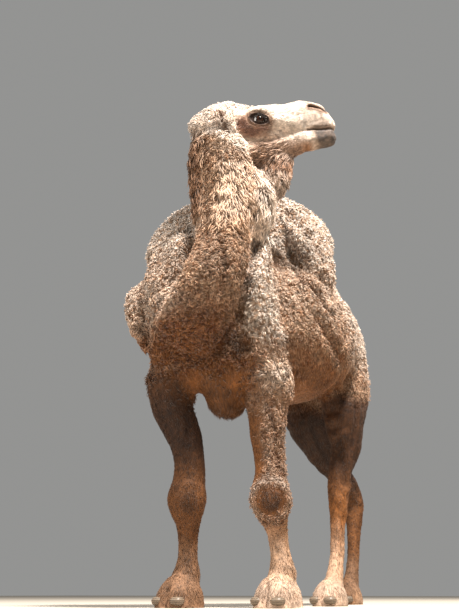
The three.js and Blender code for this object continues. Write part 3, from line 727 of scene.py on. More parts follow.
def on_head(middles):
    """Which places are on the head, in front of the crown and above the throat."""
    a, r, h = head_frame(middles).T
    return (a > -215) & (h > -205 - 0.1 * a) & (h < 200) & (np.abs(r) < 150) & (a < 400)


def on_face(middles):
    """Which places are round an eye or on the muzzle."""
    a, r, h = head_frame(middles).T
    eye = (np.hypot(a - EYE_AHEAD, h - EYE_ABOVE) < 66) & (np.abs(r) > 50)
    return on_head(middles) & (eye | (a > 170))


def on_openings(middles):
    """Which places are on the lids, the rims of the nostrils or the edges of the lips."""
    a, r, h = head_frame(middles).T
    eye = (lid_ratio(a, h) < 1.75) & (np.abs(r) > 60)
    nostril = (np.abs(off_path(a, h, NOSTRIL)[0]) < 15) & (np.abs(r) > 14)
    lips = (np.abs(h - lip_height(a)) < 10) & (a > MOUTH_CORNER - 8)
    return on_face(middles) & (eye | nostril | lips)


for region in (on_head, on_face, on_openings):
    refine(hide, region)


def read_points(piece):
    """The places of a mesh's points, one row each."""
    places = np.empty(len(piece.data.vertices) * 3, np.float32)
    piece.data.vertices.foreach_get("co", places)
    return places.reshape(-1, 3).astype(float)


def read_normals(piece):
    """The outward direction at each point of a mesh."""
    normals = np.empty(len(piece.data.vertices) * 3, np.float32)
    piece.data.vertex_normals.foreach_get("vector", normals)
    return normals.reshape(-1, 3).astype(float)


def place_points(piece, places):
    """Moves a mesh's points to new places."""
    piece.data.vertices.foreach_set("co", np.asarray(places, np.float32).ravel())
    piece.data.update()


def even_out(piece, places, passes):
    """Moves each point half way to the mean of its neighbours, a few times over."""
    ends = np.empty(len(piece.data.edges) * 2, np.int32)
    piece.data.edges.foreach_get("vertices", ends)
    start, end = ends.reshape(-1, 2).T
    size = len(places)
    number = np.bincount(ends, minlength=size)[:, None]
    for _ in range(passes):
        total = [np.bincount(start, axis[end], size) + np.bincount(end, axis[start], size)
                 for axis in places.T]
        places = (places + np.stack(total, 1) / number) / 2
    return places


def lattice_key(corner, salt):
    """A whole number mixed from each lattice corner's three whole places and a salt."""
    x, y, z = corner.T
    return (x * 73856093) ^ (y * 19349663) ^ (z * 83492791) ^ salt


def noise(places, size, seed):
    """Smooth noise from -1 to 1: a random value at each corner of a lattice of the given spacing,
    mixed across each cell with the smooth step."""
    scaled = np.asarray(places) / size + 100
    cell = np.floor(scaled).astype(np.int64)
    share = scaled - cell
    share = share * share * (3 - 2 * share)
    total = 0
    for corner in np.ndindex(2, 2, 2):
        mixed = lattice_key(cell + corner, seed * 2654435761)
        mixed = ((mixed ^ (mixed >> 13)) * 1274126177) & 0xFFFFFF
        weight = np.prod(np.where(corner, share, 1 - share), axis=1)
        total = total + weight * (mixed / 0x7FFFFF - 1)
    return total


DEEP = 12                               # a fold this deep is fully shaded
FOLD_LIP = 0.45                         # height of the lip beside a fold, to its depth
# Folds of slack hide: the places that each runs through, its half width and its depth.
FOLDS = [
    ([(-300, -190, 1480), (-306, -244, 1313), (-262, -230, 1100)], 24, 12),
    ([(95, -206, 1655), (101, -213, 1491), (119, -239, 1358), (134, -233, 1300)], 18, 18),
    ([(20, -250, 1640), (60, -262, 1500), (40, -300, 1380)], 18, 8),
    ([(152, -292, 1420), (170, -304, 1330), (168, -297, 1270), (150, -292, 1210)], 16, 16),
    ([(262, 150, 1352), (297, 211, 1317), (317, 246, 1276), (331, 304, 1243)], 17, 18),
    ([(150, 140, 1480), (230, 60, 1260), (280, 10, 1097)], 26, 15),
    ([(204, 364, 1640), (267, 355, 1475), (313, 304, 1307)], 24, 22),
    ([(128, 486, 1830), (247, 404, 1644), (301, 390, 1478)], 22, 18),
    ([(330, 120, 1240), (345, 300, 1120), (330, 480, 1040)], 30, 14),
    ([(148, -209, 1090), (142, -139, 1065), (141, -61, 1010)], 18, 14),
    ([(86, -210, 1014), (139, -195, 1065)], 16, 10),
    ([(-230, 760, 1200), (-190, 760, 1030), (-170, 700, 930)], 26, 10),
    ([(230, 700, 1150), (215, 690, 1010), (200, 660, 900)], 26, 10),
    ([(172, 626, 910), (166, 666, 780), (176, 710, 650), (174, 727, 540)], 17, 13),
    ([(236, 740, 900), (222, 742, 760), (204, 740, 640), (188, 742, 540)], 15, 10),
    ([(166, 714, 400), (160, 700, 300), (156, 686, 210)], 10, 7),
    ([(-100, 900, 900), (-108, 1000, 800), (-90, 1140, 680), (-70, 1260, 590)], 16, 11),
    ([(-72, 1110, 880), (-72, 1190, 760), (-58, 1290, 630), (-50, 1350, 550)], 15, 9),
    ([(-52, 1385, 450), (-58, 1350, 330), (-60, 1320, 230)], 9, 6),
    ([(196, 20, 740), (204, 40, 620), (208, 50, 500)], 14, 9),
    ([(-120, -120, 760), (-112, -140, 640), (-118, -130, 500)], 13, 6),
    ([(-215, -250, 1010), (-120, -190, 930), (-30, -60, 884)], 14, 8),
    ([(90, -60, 960), (20, -70, 900), (-60, -80, 880)], 14, 8),
    ([(184, -60, 1500), (178, -92, 1422), (178, -112, 1366), (164, -120, 1305), (160, -116, 1250),
      (134, -106, 1191), (114, -120, 1129), (84, -138, 1070), (30, -134, 1023)], 26, 26),
    ([(-60, -190, 1480), (-64, -230, 1400), (-50, -290, 1330), (-80, -310, 1260),
      (-130, -300, 1190)], 32, 30),
    ([(205, -60, 1400), (215, -90, 1300), (212, -84, 1180), (196, -70, 1080)], 16, 8),
    ([(110, 320, 1800), (180, 326, 1710), (240, 340, 1610), (280, 350, 1510)], 20, 20),
    ([(60, 270, 1620), (130, 250, 1520), (200, 200, 1430), (262, 150, 1352)], 20, 16),
    ([(-300, -130, 1500), (-330, -180, 1400), (-320, -220, 1300), (-290, -240, 1200)], 24, 16),
    ([(-200, -130, 1560), (-230, -190, 1440), (-216, -230, 1330)], 20, 14),
    ([(300, 560, 1330), (330, 500, 1220), (335, 420, 1130)], 26, 9),
    ([(250, 690, 1330), (290, 640, 1230), (300, 600, 1130)], 24, 8),
]
# Lumps of slack hide and bone: place, half widths and height.
LUMPS = [
    ((272, 232, 1355), (44, 62, 52), 30),
    ((300, 150, 1270), (40, 60, 60), 12),
    ((-58, -290, 1345), (52, 90, 80), -46),
    ((-104, -290, 1275), (52, 90, 60), -34),
    ((-230, -60, 1560), (60, 60, 44), 14),
    ((-360, -190, 1240), (50, 60, 50), 12),
    ((152, 706, 462), (24, 30, 32), 10),
    ((178, 724, 412), (22, 30, 30), 8),
    ((140, 800, 530), (34, 30, 40), 12),
    ((-50, 1385, 505), (30, 34, 34), 8),
    ((-96, 1445, 545), (34, 26, 40), 12),
    ((215, 30, 930), (60, 70, 40), 16),
]
# The bare callus on each knee, its place and how dark it is worn.
KNEES = [((200, -6, 407), 0.95), ((-100, -144, 404), 0.3)]
KNEE_PAD = 64                           # its half width
OUTER = np.array([0.84, 0.54, 0])       # outwards from the left foreleg


def off_line(places, line):
    """Distance of each place from a bent line in space."""
    best = np.full(len(places), 1e9)
    line = np.array(line, float)
    for start, end in zip(line[:-1], line[1:]):
        step = end - start
        t = np.clip((places - start) @ step / (step @ step), 0, 1)
        best = np.minimum(best, np.linalg.norm(places - start - t[:, None] * step, axis=1))
    return best


def woolly(places):
    """1 where the hide carries wool, 0 on the head, the legs and the bare underside."""
    x, y, z = body_frame(places).T
    a, r, h = head_frame(places).T
    head = ramp(a, -240, -200) * ramp(h, -190, -150)
    return ramp(z, 860, 960) * (1 - head)


def knee_gap(body, knee):
    """Distance from the middle of a knee, 1 at the edge of its callus."""
    return np.linalg.norm(body - knee, axis=1) / KNEE_PAD


def sleeve_cover(places, normals, shares):
    """1 on the outer half of the left forearm, which is woolly down to the knee, and round its top."""
    x, y, z = body_frame(places).T
    outer = ramp(normals @ OUTER, -0.6, -0.25) * ramp(z, 430, 480)
    ring = bell((knee_gap(body_frame(places), KNEES[0][0]) - 1.35) / 0.4)
    return shares["foreleg"] * (x > 0) * np.maximum(np.maximum(outer, ramp(z, 740, 820)), ring)


def head_cover(places, shares):
    """1 on the head and the pale wool of cheeks and crown, 0 below the line from nape to throat."""
    a, r, h = head_frame(places).T
    near = ramp(a, -350, -330) * ramp(h + 28 + 0.75 * (a + 269), -16, 16) * ramp(180 - np.abs(r), 0, 20)
    own = sum(shares[name] for name in ("skull", "jaw", "ear", "neck", "nape"))
    return np.clip(own, 0, 1) * near


def fold_hide(places, normals):
    """Presses the folds in with a soft lip beside each, and swells the hide in slow lumps.  Gives the
    places and how deep in a fold each lies, from 0 to 1."""
    body = body_frame(places)
    rise, inside = np.zeros(len(places)), np.zeros(len(places))
    for line, width, depth in FOLDS:
        gap = off_line(body, line) / width
        rise += depth * (FOLD_LIP * bell((gap - 1.9) / 0.9) - bell(gap))
        inside = np.maximum(inside, min(depth / DEEP, 1) * bell(gap / 0.9))
    for middle, size, height in LUMPS:
        rise += height * bell(*((body - middle) / size).T)
    for knee, worn in KNEES:
        gap = knee_gap(body, knee)
        rise += worn * (11 * bell((gap - 1.25) / 0.3) - 4 * bell(gap / 0.8))
    wool = woolly(places)
    stretched = body * (1, 1, 0.6)
    rise += wool * (5 * noise(stretched, 95, 1) + 4 * noise(body, 46, 2) + 2 * noise(body, 24, 3))
    knees = ramp(body[:, 2], 300, 360) * (1 - ramp(body[:, 2], 500, 560))
    sinews = noise(body * (1, 1, 0.7), 34, 4) + 0.6 * noise(body, 60, 6)
    rise += (1 - wool) * ramp(body[:, 2], 20, 120) * (2.2 + knees) * sinews
    return places + normals * rise[:, None] * MM, inside


# Bone and muscle on each side of the head: rise, place ahead and above, half lengths and tilt.
SWELLS = [
    (10, 6, 33, 44, 12, 0.10),          # brow
    (3, -8, -44, 44, 9, 0),             # bag under the lower lid
    (-10, -74, 46, 30, 20, 0),          # temple
    (-7, 112, -50, 60, 24, 0),          # hollow of the cheek
    (4, 84, -6, 70, 10, 0),             # cheekbone
    (-4, 118, 34, 50, 18, 0),           # side of the nose
    (9, -36, -118, 62, 40, 0),          # jaw muscle
]


def sculpt_head(places, normals):
    """Brow, hollows, cheek, lips and nostrils as bells on the two sides of the head, in millimetres
    along the hide's own normal, then the lids as a rim round each eyeball."""
    a, r, h = head_frame(places).T
    on = on_head(places) & (a > -200)
    flank = ramp(np.abs(r), 18, 46)
    rise = sum(up * bell((a - ahead) / long, (h - above - tilt * a) / tall)
               for up, ahead, above, long, tall, tilt in SWELLS)
    rise += 8 * bell(off_path(a, h, JAW_LINE)[0] / 15) * (1 - ramp(a, 195, 222))
    rise -= 8 * bell(off_path(a, h, EAR_SLIT)[0] / 9)
    rise *= flank
    slit, along = off_path(a, h, NOSTRIL)
    ends = ramp(along, 0, 0.2) * (1 - 0.7 * ramp(along, 0.75, 1))
    ends *= ramp(np.abs(r), 12, 24) * ramp(a, 205, 222)
    width = 3 + 5 * np.sin(np.pi * np.clip(along, 0, 1))
    rise -= 20 * ends * bell(slit / width)
    rise += 6 * ends * bell((slit - 15) / 8) + 4 * ends * bell((slit + 13) / 8)
    lip = h - lip_height(a)
    lips = ramp(a, MOUTH_CORNER - 6, MOUTH_CORNER + 16)
    rise -= 9 * lips * bell(lip / 3.4)
    rise += lips * (5 * bell((lip - 13) / 10) + 3.5 * bell((lip + 14) / 10))
    rise += 3 * bell((a - MOUTH_CORNER + 8) / 14, (lip - 4) / 12)
    front = ramp(a, 285, 320) * bell(r / 4) * ramp(h, -24, -12) * (1 - ramp(h, 50, 70))
    rise -= 5 * front
    rise += 1.6 * noise(body_frame(places), 22, 5) * ramp(a, -150, -60)
    ring = lid_ratio(a, h)
    rise += 2.4 * flank * np.cos(2.6 * np.pi * (ring - 1)) * bell((ring - 1.8) / 0.6)
    places = places + np.where(on, rise, 0)[:, None] * normals * MM

    a, r, h = head_frame(places).T
    ring = lid_ratio(a, h)
    off = np.hypot(a - EYE_AHEAD, h - EYE_ABOVE)
    ball = EYE_DEPTH + np.sqrt(np.maximum(EYE_RADIUS ** 2 - off ** 2, 0))
    upper = ramp(h - EYE_ABOVE, -4, 12)
    rim = np.maximum(ball + 3 + 3 * upper, np.abs(r) - 5)
    lid = rim + (np.abs(r) - rim) * ramp(ring, 1.1, 1.75)
    edge = ramp(ring, 0.93, 1.03)
    wanted = (ball - 7) * (1 - edge) + lid * edge
    moved = np.where(on & (ring < 1.75) & (np.abs(r) > 55), wanted - np.abs(r), 0) * np.sign(r)
    return places + moved[:, None] * RIGHT * MM


def shape_feet(places):
    """Presses the cleft between the toes and levels the soles on the floor."""
    x, y, z = body_frame(places).T
    for stance in STANCE:
        side, fore, hind = stance["side"], stance["fore"], stance["hind"]
        toes = [(fore["x"] + fore["knee"] + fore["splay"] + 4, fore["y"] - 14, 1),
                (hind["x"], hind["toe"] - 10, 0.8)]
        for middle, centre, scale in toes:
            near = (np.abs(x - side * middle) < 130 * scale) & (z < 110)
            near &= np.abs(y - centre) < 160 * scale
            cleft = bell((x - side * middle) / (9 * scale)) * ramp(centre - y, 20 * scale, 70 * scale)
            cleft *= 1 - ramp(z, 70, 105)
            y = y + np.where(near, 26 * scale * cleft, 0)
            z = z - np.where(near, 10 * scale * cleft, 0)
    return ORIGIN + np.stack([x, y, np.maximum(z, 0)], 1) * MM


places = even_out(hide, settle(read_points(hide), 2), 3)
place_points(hide, places)
places, folded = fold_hide(places, read_normals(hide))
place_points(hide, places)
places = shape_feet(sculpt_head(places, read_normals(hide)))
place_points(hide, places)


# ---------- Markings ----------
# A cream head over a sandy neck and trunk, rusty brown below and on the legs, dark bare pads on the
# knees and breastbone, grey lips and mauve lids.  Much of the rust and dark below, in the folds and
# creases and on the right legs is painted shade, and some cream on the left legs, the arm and the
# right side of the neck is painted light.  Hide and coat ask the same functions.
PARTS = {name: [i for i, length in enumerate(lengths) if length.name == name] for name in
         dict.fromkeys(length.name for length in lengths)}
MARKS = {"cream": "#F4E6D9", "rust": "#935F34", "dark": "#33221A", "mauve": "#8A6656",
         "grey": "#6A605B"}
SHARE_REACH = 0.018                     # metres over which one length gives way to the next


def survey(places):
    """For each place: every length's share in it, the number of the nearest length, the way along and
    round that one, and the way the coat lies.  A share is exp of minus the distance beyond the nearest
    length over the reach, and they add up to 1."""
    found = [length.at(places) for length in lengths]
    distance = np.stack([part[0] for part in found])
    nearest = distance.argmin(0)
    share = np.exp(-(distance - distance.min(0)) / SHARE_REACH)
    share /= share.sum(0)
    flow = sum(part[:, None] * found[i][3] for i, part in enumerate(share))
    shares = {name: share[numbers].sum(0) for name, numbers in PARTS.items()}
    row = np.arange(len(places))
    along = np.stack([part[1] for part in found])[nearest, row]
    angle = np.stack([part[2] for part in found])[nearest, row]
    return shares, nearest, along, angle, flow


def markings(places, normals, shares, folded):
    """How far each place takes each of the five marks, from 0 to 1, with edges broken by noise."""
    body = body_frame(places)
    x, y, z = body.T
    a, r, h = head_frame(places).T
    out = np.abs(r)
    broken = 0.5 * noise(body, 60, 11) + 0.3 * noise(body, 25, 12)
    fine = noise(body, 12, 13)
    head = head_cover(places, shares)
    off_head = 1 - head
    legs = np.clip(shares["foreleg"] + shares["hindleg"], 0, 1) * (1 - ramp(z, 900, 1000))
    shaded_right_leg = legs * ramp(-x, 0, 60)
    shaded_left_hind = shares["hindleg"] * ramp(x, 60, 120)
    neck = np.clip(shares["neck"] + shares["nape"] + shares["mane"], 0, 1) * off_head
    # Painted light: the neck's right side is paler and less rusty, as on its lit side.
    neck_lit_side = ramp(-x, -20, 60) * ramp(z, 1100, 1200)
    flap = np.clip(shares["front_hump"] + shares["cape"] + shares["shoulder"] * ramp(-x, 40, 90), 0, 1)
    flap *= ramp(-x, 20, 70)
    sleeve = sleeve_cover(places, normals, shares)
    cuff = bell((x - 215) / 70, (y - 10) / 90, (z - 930) / 60)
    nape = ramp(-a + 10 * broken, 246, 268) * neck * ramp(z, 1560, 1680)

    # Cream: the head, the humps, the arm, the rump and the left feet.  The arm's full cream is partly
    # painted light; the paler left feet, the front of the left legs and the left hock are painted
    # light.
    # The head's cream thins low behind the jaw, as painted shade.
    cream = 0.82 * head * (1 - 0.5 * ramp(-h, 90, 170) * ramp(a, -120, 0)) + 0.16 * broken
    cream += 0.8 * ramp(z + 60 * broken, 1400, 1640) * off_head * (1 - neck)
    cream += 0.7 * (shares["rear_fold"] + shares["rear_hump"])
    cream += 0.5 * flap * ramp(z + 60 * broken, 1060, 1200)
    cream += 0.55 * shares["mane"] * ramp(z, 1480, 1560)
    # Pale wool at the top of the neck near the head, and painted light on its right side.
    cream += 0.2 * neck * ramp(a, -215, -150) * ramp(z, 1540, 1640) + 0.4 * neck * neck_lit_side
    # Pale wool on the arm, pushed to full cream as partly painted light.
    cream += 1.1 * shares["shoulder"] * ramp(z, 980, 1080) * ramp(x, 100, 170)
    cream += 0.65 * cuff + 0.3 * sleeve
    cream += 0.4 * shares["barrel"] * ramp(z, 1060, 1300)
    cream += 0.55 * shares["barrel"] * ramp(y, 440, 600) * ramp(z, 1040, 1110)
    cream += 0.5 * ramp(y, 760, 880) * ramp(z, 1000, 1100)
    # Painted light: the left feet paler than the right.
    cream += 0.24 * legs * (1 - ramp(z, 60, 150)) * ramp(x, -60, 60)
    cream += 0.1 * legs * (1 - ramp(z, 60, 130))
    # Painted light on the front-facing side of the left legs.
    cream += 0.14 * legs * ramp(x, 40, 100) * bell((z - 250) / 130) * ramp(-normals[:, 1], -0.1, 0.6)
    # Painted highlight down the front of the left hock.
    cream += 0.4 * shares["hindleg"] * bell((z - 400) / 90) * ramp(x, 100, 160)

    # Rust: the underside, the legs, the throat, the beard's root and the bottoms of the folds.  On the
    # underside, low on the throat, under the jaw, at the beard's root, in the folds and on the right
    # legs it is painted shade.
    # Painted shade: the hide that faces the floor turns rusty brown.
    under = np.clip(ramp(-normals[:, 2], -0.1, 0.75) + shares["sternum"], 0, 1) * ramp(z, 700, 860)
    rust = 0.95 * under * (1 - ramp(z, 1000, 1240)) * off_head
    # Brown legs, with painted shade on the right legs.
    rust += legs * (0.2 + 0.8 * ramp(z, 160, 420)) + 0.45 * shaded_right_leg
    rust += 0.25 * shares["tail"] + 0.8 * shares["breast_pad"]
    rust -= 0.6 * sleeve * ramp(z, 320, 370) + 0.6 * cuff
    # Painted shade low on the neck, away from its lit side, and the brown nape.
    rust += 0.65 * neck * (1 - ramp(z, 1060, 1300)) * (1 - neck_lit_side) + 0.75 * nape
    rust += 0.9 * bell((a - 212) / 42, (h + 118) / 28) * head
    # Painted shade under the jaw.
    rust += 0.35 * shares["jaw"] * ramp(-h, 100, 150) * (1 - ramp(a, 150, 200))
    # The beard, browner at its root as painted shade under the jaw.
    rust += 0.45 * shares["beard"] * (1 + 1.2 * bell((h + 190) / 30))
    rust += 0.35 * bell((x - 268) / 44, (y - 200) / 80, (z - 1350) / 60)
    rust += 0.6 * flap * (1 - ramp(z + 40 * broken, 1060, 1150))
    # Painted shade in the folds, with random mottling.
    rust += (0.16 * broken + 0.3 * folded) * off_head

    # Dark: the pads and the nape, and painted shade on the insides of the legs, the right legs and the
    # left hind thigh, in the folds, in the armpit, along the neck's front crease and behind the jaw.
    dark = 0.5 * shares["breast_pad"] + 0.9 * shares["tail"] * ramp(-z, -960, -900)
    inner = (1 - 0.7 * sleeve) * (1 - 0.5 * ramp(x, 40, 100) * ramp(-y, -300, -200))
    dark += 0.5 * legs * ramp(z, 440, 660) * inner
    # Painted shade on the left hind thigh and on the right legs.
    dark += 0.3 * shaded_left_hind * ramp(z, 440, 600) * (1 - ramp(z, 900, 1000)) + 0.4 * shaded_right_leg
    dark += 0.18 * legs * ramp(fine, 0, 0.8) * ramp(z, 120, 240)
    # Painted shade in the folds, and dark streaks on the nape.
    dark += 0.12 * folded * off_head + 0.5 * nape * ramp(broken, -0.6, 0.3)
    # Dark speckle in the neck's wool, partly dark roots and partly painted shade between curls, and
    # painted shade along the neck's front crease.
    dark += neck * (0.12 * ramp(fine + broken, 0.1, 0.9) + 0.3 * bell((x - 150) / 70, (z - 1330) / 130))
    # Painted shade in the hollow of the neck behind the jaw.
    dark += 0.35 * neck * bell((a + 215) / 40, (h + 150) / 46) * ramp(out, 30, 60)
    # Painted shade in the armpit.
    dark += 0.7 * bell((x - 100) / 55, (y + 120) / 70, (z - 1040) / 60)
    for knee, worn in KNEES:
        gap = knee_gap(body, knee) + 0.12 * broken
        dark += 0.75 * worn * (1 - ramp(gap, 0.5, 1.0))
        rust += 0.5 * worn * (1 - ramp(gap, 0.6, 1.1))
        cream += 0.6 * worn * bell((gap - 1.3) / 0.2) * ramp(z, 400, 440)
    # The ear's slit: brown of the inner ear with painted shade in its groove.
    slit, share = off_path(a, h, EAR_SLIT)
    slit = bell(slit / 11) * ramp(share, 0.0, 0.12) * (1 - ramp(share, 0.85, 1)) * head
    slit *= ramp(out, 40, 60)
    dark += 0.5 * slit
    rust += 0.75 * slit

    # The face: a mauve patch round dark lids, dark nostrils, grey lips and a mauve jaw; the dark of the
    # nostrils and the mouth line and the mauve under the jaw are painted shade.
    eye = bell((a + 24) / 82, (h + 32 - 0.1 * (a + 30)) / 58) * ramp(out, 40, 62) * head
    mauve = 0.95 * ramp(eye + 0.12 * broken + 0.06 * fine, 0.22, 0.62)
    mauve += 0.6 * bell((a + 86) / 20, (h + 28) / 16) * head
    lids = (1 - ramp(lid_ratio(a, h) + 0.3 * fine, 1.5, 3.1)) * ramp(out, 56, 70) * head
    mauve *= 1 - lids
    slit, share = off_path(a, h, NOSTRIL)
    front = ramp(a, 202, 220) * ramp(out, 8, 18) * head
    # Dark lids, and painted shade in the nostril slits.
    dark += lids + 1.2 * bell(slit / 10) * front
    dark += 0.4 * bell((a - 212) / 14, (h - 104) / 22) * ramp(out, 20, 36) * head
    mauve += 0.5 * bell((slit + 12) / 9) * front
    lip = h - lip_height(a)
    lips = ramp(a, 212, 250) * head
    grey = 0.9 * lips * (1 - ramp(lip, -6, 2)) * ramp(a + 0.3 * h + 12 * broken, 216, 250)
    grey += 0.45 * lips * bell((lip - 8) / 10)
    grey += 0.3 * lips * ramp(fine, -0.2, 0.8) * (1 - ramp(lip, 70, 100))
    # Painted shade along the mouth line.
    dark += 0.9 * ramp(a, 205, 216) * head * bell(lip / 3.4)
    # Painted shade: mauve under the jaw.
    mauve += 0.45 * head * ramp(-h, 60, 120) * ramp(a, -80, 20) * (1 - ramp(a, 150, 210))
    mauve += 0.3 * head * bell((a - 60) / 120, (h + 70) / 40) * ramp(broken + fine, -0.9, 0.7)
    cream -= 0.9 * (mauve + grey) * head + 0.8 * dark
    return {name: np.clip(value, 0, 1) for name, value in zip(MARKS, (cream, rust, dark, mauve, grey))}


def write_values(piece, values):
    """Stores an array of numbers on the points of a piece under each name."""
    for name, value in values.items():
        layer = piece.data.attributes.new(name, "FLOAT", "POINT")
        layer.data.foreach_set("value", np.asarray(value, np.float32))


CURL_MM, BEND_MM, BEND_DEPTH = 17, 26, 0.022


def curls(tree, place):
    """Curls of wool a thumb across: the distance to the middle of a cell of a bent cell pattern."""
    bend = add(tree, "TexNoise", {"Scale": 1000 / BEND_MM, "Detail": 2}, Vector=place)
    bent = add(tree, "VectorMath", {"operation": "MULTIPLY_ADD", 1: (BEND_DEPTH,) * 3},
               _0=bend.outputs["Color"], _2=place)
    cells = add(tree, "TexVoronoi", {"Scale": 1000 / CURL_MM}, Vector=bent.outputs[0])
    return cells.outputs["Distance"]


def marked_color(tree):
    """The colour of hair and hide: sand, then each mark laid over it by its own attribute, then slow
    and fine mottling a few centimetres and a few millimetres across, then painted shade, warm and
    dark, in the gaps between curls, with the middles of the curls a little lighter."""
    color = linear("#D0AC8E")
    for name, code in MARKS.items():
        mark = add(tree, "Attribute", {"attribute_name": name}).outputs["Fac"]
        layer = add(tree, "Mix", {"data_type": "RGBA", 7: linear(code)}, _0=mark)
        if isinstance(color, tuple):
            layer.inputs[6].default_value = color
        else:
            tree.links.new(color, layer.inputs[6])
        color = layer.outputs[2]
    place = add(tree, "TexCoord").outputs["Object"]
    for size_mm, weight in ((55, 0.28), (16, 0.34), (5, 0.2)):
        spots = add(tree, "TexNoise", {"Scale": 1000 / size_mm, "Detail": 3}, Vector=place)
        shade = add(tree, "MapRange", {1: 0.3, 2: 0.7, 3: 1 - weight, 4: 1 + weight * 0.6},
                    _0=spots.outputs["Fac"]).outputs[0]
        color = add(tree, "VectorMath", {"operation": "SCALE"}, _0=color, Scale=shade).outputs[0]
    wool_here = add(tree, "Attribute", {"attribute_name": "wool"}).outputs["Fac"]
    # Painted shade: the gaps between curls of wool are darkened and warmed.
    gap = add(tree, "MapRange", {1: 0.34, 2: 0.8}, _0=curls(tree, place)).outputs[0]
    deep = add(tree, "Math", {"operation": "MULTIPLY"}, _0=wool_here, _1=gap).outputs[0]
    tone = add(tree, "Mix", {"data_type": "RGBA", 6: (1.05, 1.05, 1.05, 1), 7: (0.58, 0.42, 0.3, 1)},
               _0=deep).outputs[2]
    return add(tree, "VectorMath", {"operation": "MULTIPLY"}, _0=color, _1=tone).outputs[0]


def dress(piece, material, slot, *nodes):
    """Gives a piece its material, fixes it to the body and hides the nodes it replaces; the slot is not
    used.
    """
    piece.data.materials.append(material)
    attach(piece, "root")
    if nodes:
        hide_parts(*nodes)


shares, nearest, along, angle, flow = survey(places)
normals = read_normals(hide)
marks = markings(places, normals, shares, folded)
wool = np.clip(woolly(places) + sleeve_cover(places, normals, shares), 0, 1)
write_values(hide, marks)
write_values(hide, {"wool": wool})

# Dry camel hide: matt, finely wrinkled skin that shows between the hairs, darker where wool shades it.
PORE_MM, WRINKLE_MM = 5, 9
leather, tree = matter("camel_hide")
wool_here = add(tree, "Attribute", {"attribute_name": "wool"}).outputs["Fac"]
dim = add(tree, "MapRange", {3: 0.86, 4: 0.50}, _0=wool_here).outputs[0]
color = add(tree, "VectorMath", {"operation": "SCALE"}, _0=marked_color(tree), Scale=dim)
place = add(tree, "TexCoord").outputs["Object"]
pores = add(tree, "TexNoise", {"Scale": 1000 / PORE_MM, "Detail": 4}, Vector=place).outputs["Fac"]
wrinkles = add(tree, "TexVoronoi", {"Scale": 1000 / WRINKLE_MM, "feature": "DISTANCE_TO_EDGE"},
               Vector=place)
grain = add(tree, "Math", {"operation": "MULTIPLY_ADD", 1: 0.5}, _0=wrinkles.outputs[0], _2=pores)
fine = add(tree, "Bump", {"Strength": 0.5, "Distance": 0.002}, Height=grain.outputs[0])
height = add(tree, "Math", {"operation": "MULTIPLY"}, _0=curls(tree, place), _1=wool_here)
bump = add(tree, "Bump", {"Strength": 0.8, "Distance": 0.012, "invert": True},
           Height=height.outputs[0], Normal=fine.outputs[0])
gloss = add(tree, "MapRange", {3: 0.62, 4: 0.85}, _0=pores)
shader = add(tree, "BsdfPrincipled", {"Specular IOR Level": 0.25}, Base_Color=color.outputs[0],
             Roughness=gloss.outputs[0], Normal=bump.outputs[0])
finish_matter(tree, shader.outputs["BSDF"])
dress(hide, leather, "short_coat",
        *[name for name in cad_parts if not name.startswith(("eye_", "nail_"))])

# ---------- Eyes ----------
# Dark brown eyes under heavy lids: a wet ball with a brown iris, a wide level pupil and a clear
# bulge over both.
EYE_ROWS = 40
EYE_POLE = 0.012                        # angle of the smallest ring
CORNEA_RISE, CORNEA_WIDE = 0.05, 0.55
PUPIL_HALF = (8.5, 4.6)                 # millimetres
FIBRES = 900                            # of the iris, to the metre


def round_grid(places):
    """Closes a grid whose rows are rings from one pole to the other.  Gives the points with the two
    poles, each at the mean of the ring beside it, and the four-sided and three-sided faces."""
    rows, turns = places.shape[:2]
    number = np.arange(rows * turns).reshape(rows, turns)
    after = np.roll(number, -1, axis=1)
    quads = np.stack([number[:-1], number[1:], after[1:], after[:-1]], -1).reshape(-1, 4)
    first, last = np.full(turns, rows * turns), np.full(turns, rows * turns + 1)
    caps = np.vstack([np.stack([first, number[0], after[0]], 1),
                      np.stack([last, after[-1], number[-1]], 1)])
    return np.vstack([places.reshape(-1, 3), places[0].mean(0), places[-1].mean(0)]), [quads, caps]


def eye_ball(side):
    """A ball whose pole points out of the head, with the cornea as a low swelling about the pole:
    radius R (1 + 0.05 exp(-(angle/0.55)**2)), on a grid of angle from the pole and turn about it."""
    fall, spin = np.meshgrid(np.linspace(EYE_POLE, math.pi - EYE_POLE, EYE_ROWS),
                             np.linspace(0, 2 * math.pi, 2 * EYE_ROWS, endpoint=False), indexing="ij")
    radius = EYE_RADIUS * (1 + CORNEA_RISE * np.exp(-(fall / CORNEA_WIDE) ** 2))
    outward, forward = np.cos(fall) * radius, np.sin(fall) * np.cos(spin) * radius
    upward = np.sin(fall) * np.sin(spin) * radius
    centre = EYES + EYE_AHEAD * AHEAD + EYE_ABOVE * UP + side * EYE_DEPTH * RIGHT
    axis = unit(side * RIGHT * 0.95 + 0.18 * AHEAD - 0.05 * UP)
    across = unit(AHEAD - axis * (AHEAD @ axis))
    above = np.cross(axis, across) * side
    above = above if above[2] > 0 else -above
    places = outward[..., None] * axis + forward[..., None] * across + upward[..., None] * above
    points, faces = round_grid(centre + places)
    faces = faces if side > 0 else [group[:, ::-1] for group in faces]
    pupil = np.hypot(forward / PUPIL_HALF[0], upward / PUPIL_HALF[1])
    values = {"off_axis": np.append(fall.ravel(), [0, math.pi]),
              "pupil": np.append(pupil.ravel(), [0, 9])}
    return ORIGIN + points * MM, faces, values


